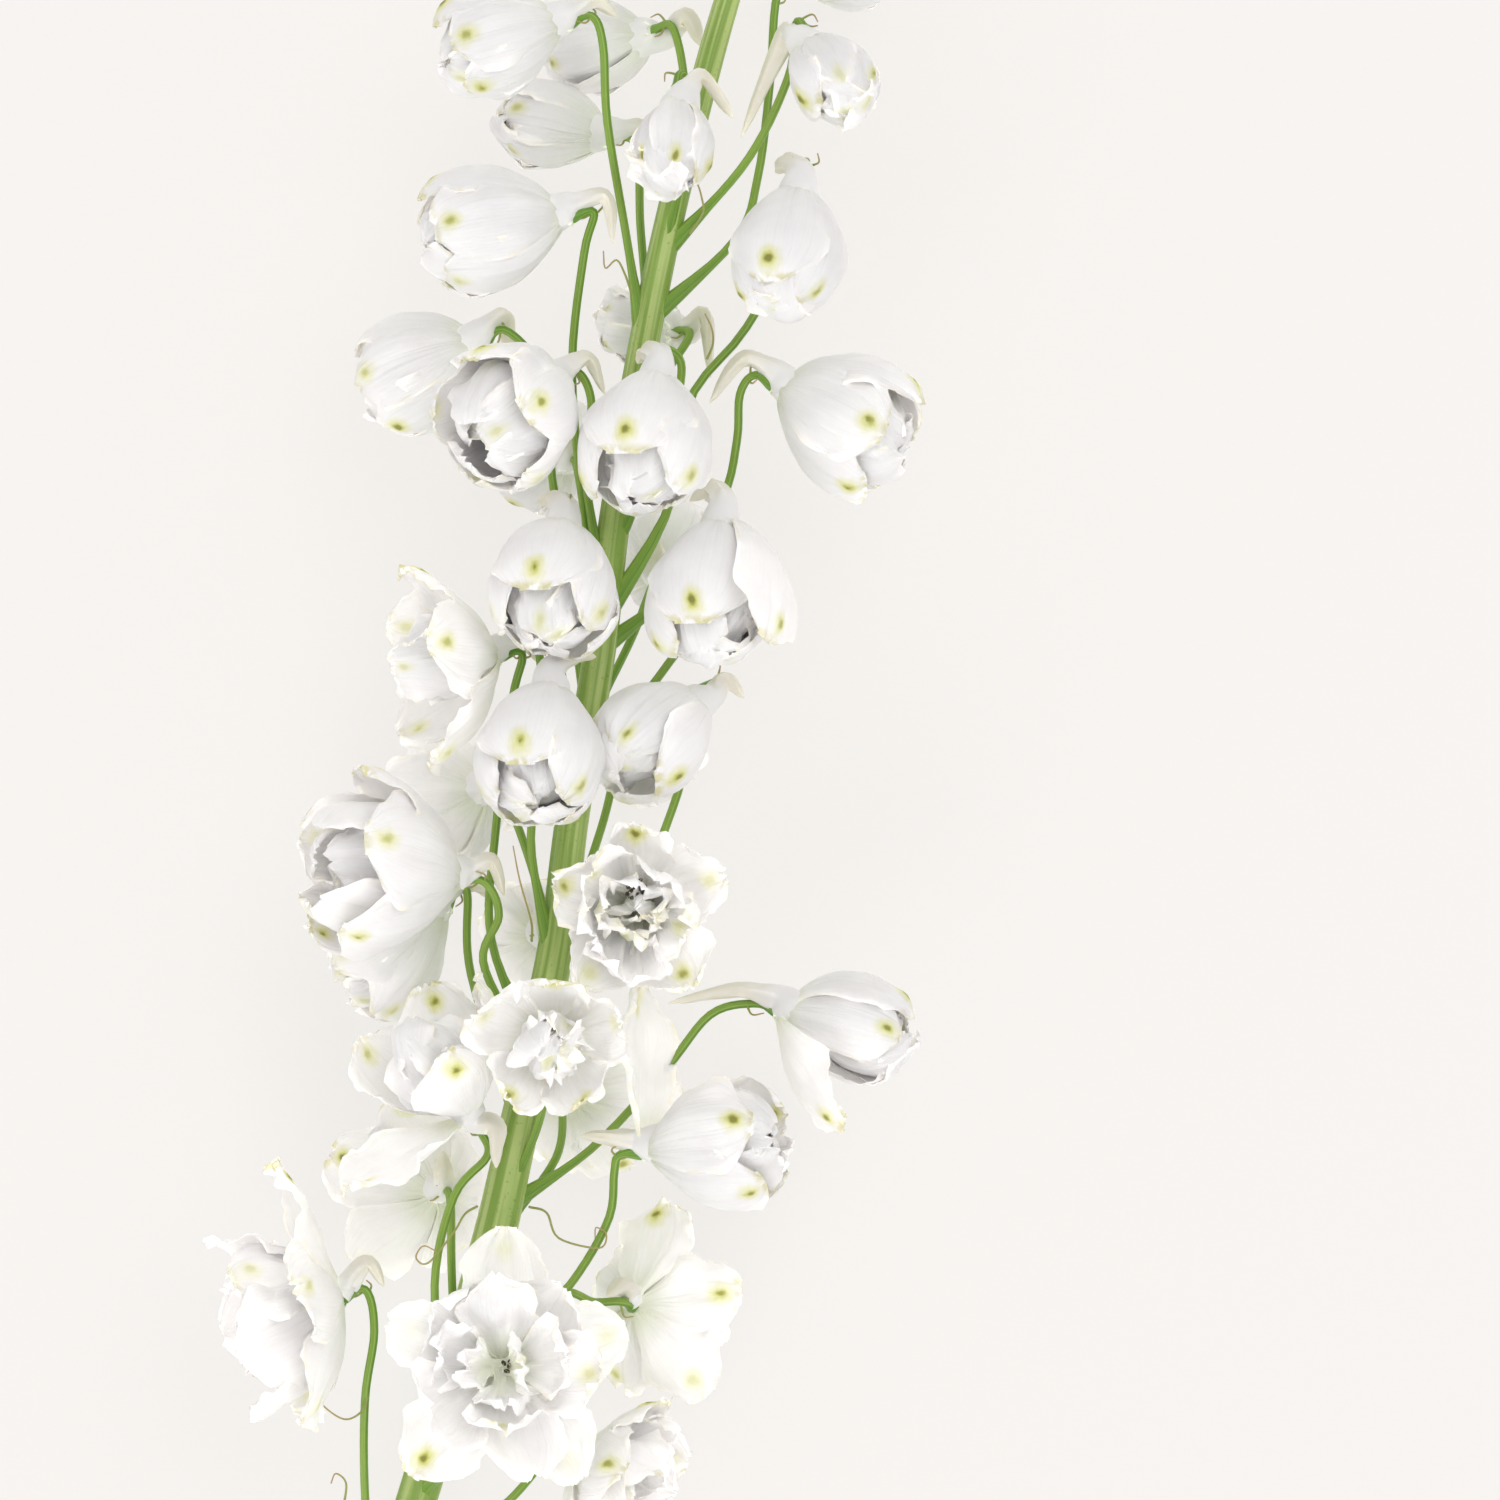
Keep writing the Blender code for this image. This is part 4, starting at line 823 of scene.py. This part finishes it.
for name, (count, spread, height, (right, up)) in STAMENS.items():
    draw = random.Random(name + " stamens")
    shape = bmesh.new()
    part = shape.verts.layers.float_vector.new("in_sac")
    for i in range(count):
        way = i * GOLDEN_ANGLE
        out = spread * math.sqrt((i + 0.5) / count)
        lean = Matrix.Rotation(
            draw.uniform(0.6, 1.5), 4, (draw.uniform(-1, 1), draw.uniform(-1, 1), 0))
        spot = Vector((right + out * math.cos(way), up + out * math.sin(way),
                       height + draw.uniform(-0.6, 0.6)))
        size = Matrix.Diagonal((SAC_WIDTH / 2, SAC_WIDTH / 2, SAC_LENGTH / 2, 1.0))
        sac = bmesh.ops.create_uvsphere(
            shape, u_segments=SAC_SIDES, v_segments=SAC_RINGS, radius=1.0,
            matrix=Matrix.Translation(spot) @ lean @ size)
        for vert in sac["verts"]:
            vert[part] = (1.0, 0.0, 0.0)
        rise = spot - SAC_THREAD_FOOT
        turn = rise.to_track_quat("Z", "Y").to_matrix().to_4x4()
        bmesh.ops.create_cone(
            shape, cap_ends=True, segments=SAC_THREAD_SIDES, radius1=SAC_THREAD_RADIUS,
            radius2=SAC_THREAD_RADIUS, depth=rise.length,
            matrix=Matrix.Translation((spot + SAC_THREAD_FOOT) / 2) @ turn)
    shape.transform(placings[name])
    piece("stamens_" + name, shape, stamen, "petal_white")

# The pedicels: the thin green stalk of each bloom, from the stem past the points in the table and
# straight into the bloom's back, where it widens into the receptacle.
PEDICEL_RADIUS = 0.84
PEDICEL_ROOT_RADIUS = 1.9
PEDICEL_END_RADIUS = 1.8
PEDICEL_RUN_IN = 3.0
PEDICEL_SIDES = 12
PEDICEL_RINGS = 30
RECEPTACLE_HEIGHT = 3.4


def pedicel_radius(angle, share):
    foot = (PEDICEL_ROOT_RADIUS - PEDICEL_RADIUS) * rising(0.16, 0.0, share)
    head = (PEDICEL_END_RADIUS - PEDICEL_RADIUS) * rising(0.84, 0.96, share)
    return (PEDICEL_RADIUS + foot + head) * (1 + 0.04 * math.cos(5 * angle))


pedicel_routes = {}
for bloom in BLOOMS:
    placing = placings[bloom.name]
    seat, axis = placing.translation, placing.to_3x3().col[2]
    line = [stem_at(bloom.root)] + [Vector(point) for point in bloom.via]
    line += [seat - axis * PEDICEL_RUN_IN, seat + axis * RECEPTACLE_HEIGHT]
    route = [through(line, i / PEDICEL_RINGS) for i in range(PEDICEL_RINGS + 1)]
    pedicel_routes[bloom.name] = route
    tube(stem_shape, route, pedicel_radius, PEDICEL_SIDES, PEDICEL)

# The thread bracts: a thin curled thread at the foot of a pedicel, and two shorter ones near its
# bloom, dry and yellowish at their tips. The first ones here lie as they do in the photo.
THREAD_RADIUS = 0.24
THREAD_TAPER = (1.15, 0.55)
THREAD_SIDES = 5
THREAD_STEPS = 6
PAIR_RINGS = ((23, 1), (24, -1))
LONG_THREADS = [
    [(-23.6, 91, 3), (-25, 95, 5.5), (-26.6, 97.6, 6), (-28.8, 96, 6), (-29.2, 99.4, 6.4)],
    [(-44, -91, 6), (-40.4, -92, 9), (-38, -97, 9.5), (-30, -99, 9), (-28.6, -96.4, 7),
     (-30.6, -95, 8), (-30.8, -97, 10)],
    [(-54.4, -91, 4), (-56.8, -92.4, 7), (-59, -96, 8), (-64, -102, 8), (-66.4, -101, 8.6),
     (-65, -98.6, 9), (-62.4, -99.6, 9)],
    [(-76.4, -129, 0.6), (-77.4, -132, 2), (-81, -133.6, 3), (-85.6, -130.4, 3), (-86, -127, 3)],
    [(-43.4, -38, 9), (-43.4, -34, 12), (-45.6, -26, 13), (-47, -19, 12)],
    [(-12, 103, 4), (-9.4, 107, 5.6), (-9.6, 110, 6), (-10.6, 113, 5.4), (-11.6, 112.4, 5)],
    [(-8.6, 78, 3), (-7.4, 81, 4), (-7.6, 84, 5), (-9, 87, 4.6)],
    [(-81.6, -152, -6), (-81, -147, -4), (-83, -145, -3), (-84, -147, -3)],
]


def thread(points):
    line = [Vector(point) for point in points]
    rings = THREAD_STEPS * (len(line) - 1)
    route = [through(line, i / rings) for i in range(rings + 1)]
    tube(stem_shape, route, lambda angle, share: THREAD_RADIUS * mix(*THREAD_TAPER, share),
         THREAD_SIDES, THREAD)


for points in LONG_THREADS:
    thread(points)
for bloom in BLOOMS:
    draw = random.Random(bloom.name + " threads")
    route = pedicel_routes[bloom.name]
    for ring, side in PAIR_RINGS:
        ahead = (route[ring + 1] - route[ring]).normalized()
        across = ahead.cross(Vector((draw.uniform(-1, 1), draw.uniform(-1, 1), 1))).normalized()
        out = across * side
        reach = draw.uniform(1.4, 2.6)
        start = route[ring] + out * 0.5
        thread([start, start + (out * 0.9 + ahead * 0.5) * reach,
                start + (out * 0.8 + ahead * 1.5) * reach])

# The buds of the tip: small closed buds, each a golden angle round from the one below, ribbed where
# their five sepals meet, with a short green spur and a thin pedicel.
BUD_COUNT = 14
BUD_LOWEST, BUD_HIGHEST = 152.0, 238.0
BUD_LENGTH_LOW, BUD_LENGTH_HIGH = 21.0, 5.5
BUD_SHRINKING = 0.8
BUD_PEDICEL_LOW, BUD_PEDICEL_HIGH = 17.0, 2.5
BUD_PEDICEL_RADIUS_LOW, BUD_PEDICEL_RADIUS_HIGH = 0.8, 0.45
BUD_PEDICEL_RISE = 0.75
BUD_CLEARANCE = 2.0
BUD_LEAN_LOW, BUD_LEAN_HIGH = -0.1, 1.2
FIRST_BUD_ANGLE = math.radians(130)
BUD_GIRTH, BUD_TAPER = 0.31, 0.18
BUD_SPUR_POINTS = ((0.5, 0.3), (0.9, 0.0), (0.75, -0.38))
BUD_SPUR_RADII = (0.08, 0.09, 0.04)
BUD_SIDES, BUD_RINGS = 40, 24
BUD_SPUR_SIDES, BUD_SPUR_RINGS = 12, 10
BUD_PEDICEL_RINGS = 14
BUD_PEDICEL_SAG = Vector((0, 1.0, 0))
BUD_RUN_IN, BUD_RUN_ON = 0.8, 0.5
GROOVE_DEPTH = 0.13

bud_skin = Finish("bud_skin", 0.5, Subsurface_Weight=0.5, Subsurface_Radius=(0.9, 1.0, 0.6),
                  Subsurface_Scale=0.0012, Specular_IOR_Level=0.35)
up_bud, seam, ripeness = bud_skin.attribute("bud_place")
mottle = bud_skin.grain(bud_skin.place(), 500.0, 3.0)
bud_colour = bud_skin.blend(ripeness, seen(190, 205, 130), seen(240, 240, 228))
bud_colour = bud_skin.blend(up_bud.rising(0.35, 0.0) * 0.7, bud_colour, seen(168, 190, 96))
bud_colour = bud_skin.blend(up_bud.rising(0.8, 1.0) * 0.8, bud_colour, seen(150, 172, 74))
bud_colour = bud_skin.blend(seam.rising(0.6, 1.0) * 0.35, bud_colour, seen(176, 192, 118))
bud_skin.set(Base_Color=bud_skin.blend(mottle * 0.3, bud_colour, seen(225, 226, 196)))
bud_skin.relief(mottle + seam * -1.5, 0.0003)

for i in range(BUD_COUNT):
    share = i / (BUD_COUNT - 1)
    height = mix(BUD_LOWEST, BUD_HIGHEST, share)
    length = mix(BUD_LENGTH_LOW, BUD_LENGTH_HIGH, share**BUD_SHRINKING)
    angle = FIRST_BUD_ANGLE + i * GOLDEN_ANGLE
    outward = Vector((math.cos(angle), 0, math.sin(angle)))
    rise = mix(BUD_PEDICEL_LOW, BUD_PEDICEL_HIGH, share) * BUD_PEDICEL_RISE
    seat = stem_at(height) + outward * (rise + BUD_CLEARANCE) + Vector((0, rise, 0))
    facing = outward + Vector((0, mix(BUD_LEAN_LOW, BUD_LEAN_HIGH, share), 0))
    placing = bloom_frame(seat, facing, UP)
    girth = BUD_GIRTH * length
    shape = bmesh.new()
    where = shape.verts.layers.float_vector.new("bud_place")
    bmesh.ops.create_uvsphere(shape, u_segments=BUD_SIDES, v_segments=BUD_RINGS, radius=1.0)
    for vert in shape.verts:
        around = math.atan2(vert.co.y, vert.co.x)
        rib = abs(math.cos(SEPAL_COUNT / 2 * around))
        up = (vert.co.z + 1) / 2
        groove = (1 - rib) ** 4 * math.sin(math.pi * up)
        wide = girth * (1 - BUD_TAPER * vert.co.z) * (1 - GROOVE_DEPTH * groove)
        vert[where] = (up, groove, 1 - share)
        vert.co = Vector((vert.co.x * wide, vert.co.y * wide, up * length))
    line = [Vector((0, out * girth, up * length)) for out, up in BUD_SPUR_POINTS]
    tail = [through(line, step / BUD_SPUR_RINGS) for step in range(BUD_SPUR_RINGS + 1)]
    radii = [Vector((radius * length, 0, 0)) for radius in BUD_SPUR_RADII]
    skin = bmesh.ops.create_grid(
        shape, x_segments=BUD_SPUR_SIDES, y_segments=BUD_SPUR_RINGS, size=1.0)["verts"]
    for vert in skin:
        ring = round((vert.co.y + 1) / 2 * BUD_SPUR_RINGS)
        turned = math.pi * (vert.co.x + 1)
        ahead = tail[min(ring + 1, BUD_SPUR_RINGS)] - tail[max(ring - 1, 0)]
        ahead.normalize()
        side = Vector((1, 0, 0))
        around = side * math.cos(turned) + ahead.cross(side) * math.sin(turned)
        vert[where] = (0.15, 0.0, 1 - share)
        vert.co = tail[ring] + around * through(radii, ring / BUD_SPUR_RINGS).x
    bmesh.ops.remove_doubles(shape, verts=skin, dist=SEAM_GAP)
    ends = [edge for edge in shape.edges if edge.is_boundary]
    bmesh.ops.holes_fill(shape, edges=ends, sides=0)
    shape.transform(placing)
    piece(f"petals_bud_{i + 1:02d}", shape, bud_skin, "petal_white", f"bud_{i + 1:02d}")
    root = stem_at(height)
    axis = placing.to_3x3().col[2]
    line = [root, (root + seat) / 2 - BUD_PEDICEL_SAG]
    line += [seat - axis * BUD_RUN_IN, seat + axis * BUD_RUN_ON]
    route = [through(line, step / BUD_PEDICEL_RINGS) for step in range(BUD_PEDICEL_RINGS + 1)]
    thin = mix(BUD_PEDICEL_RADIUS_LOW, BUD_PEDICEL_RADIUS_HIGH, share)
    tube(stem_shape, route, lambda angle, share: thin * (1 + 0.4 * rising(0.85, 1.0, share)),
         PEDICEL_SIDES, PEDICEL)

# The stem is whole once every pedicel and thread has been added to it.
piece("stem_and_pedicels", stem_shape, green, "stem_green", "stem")
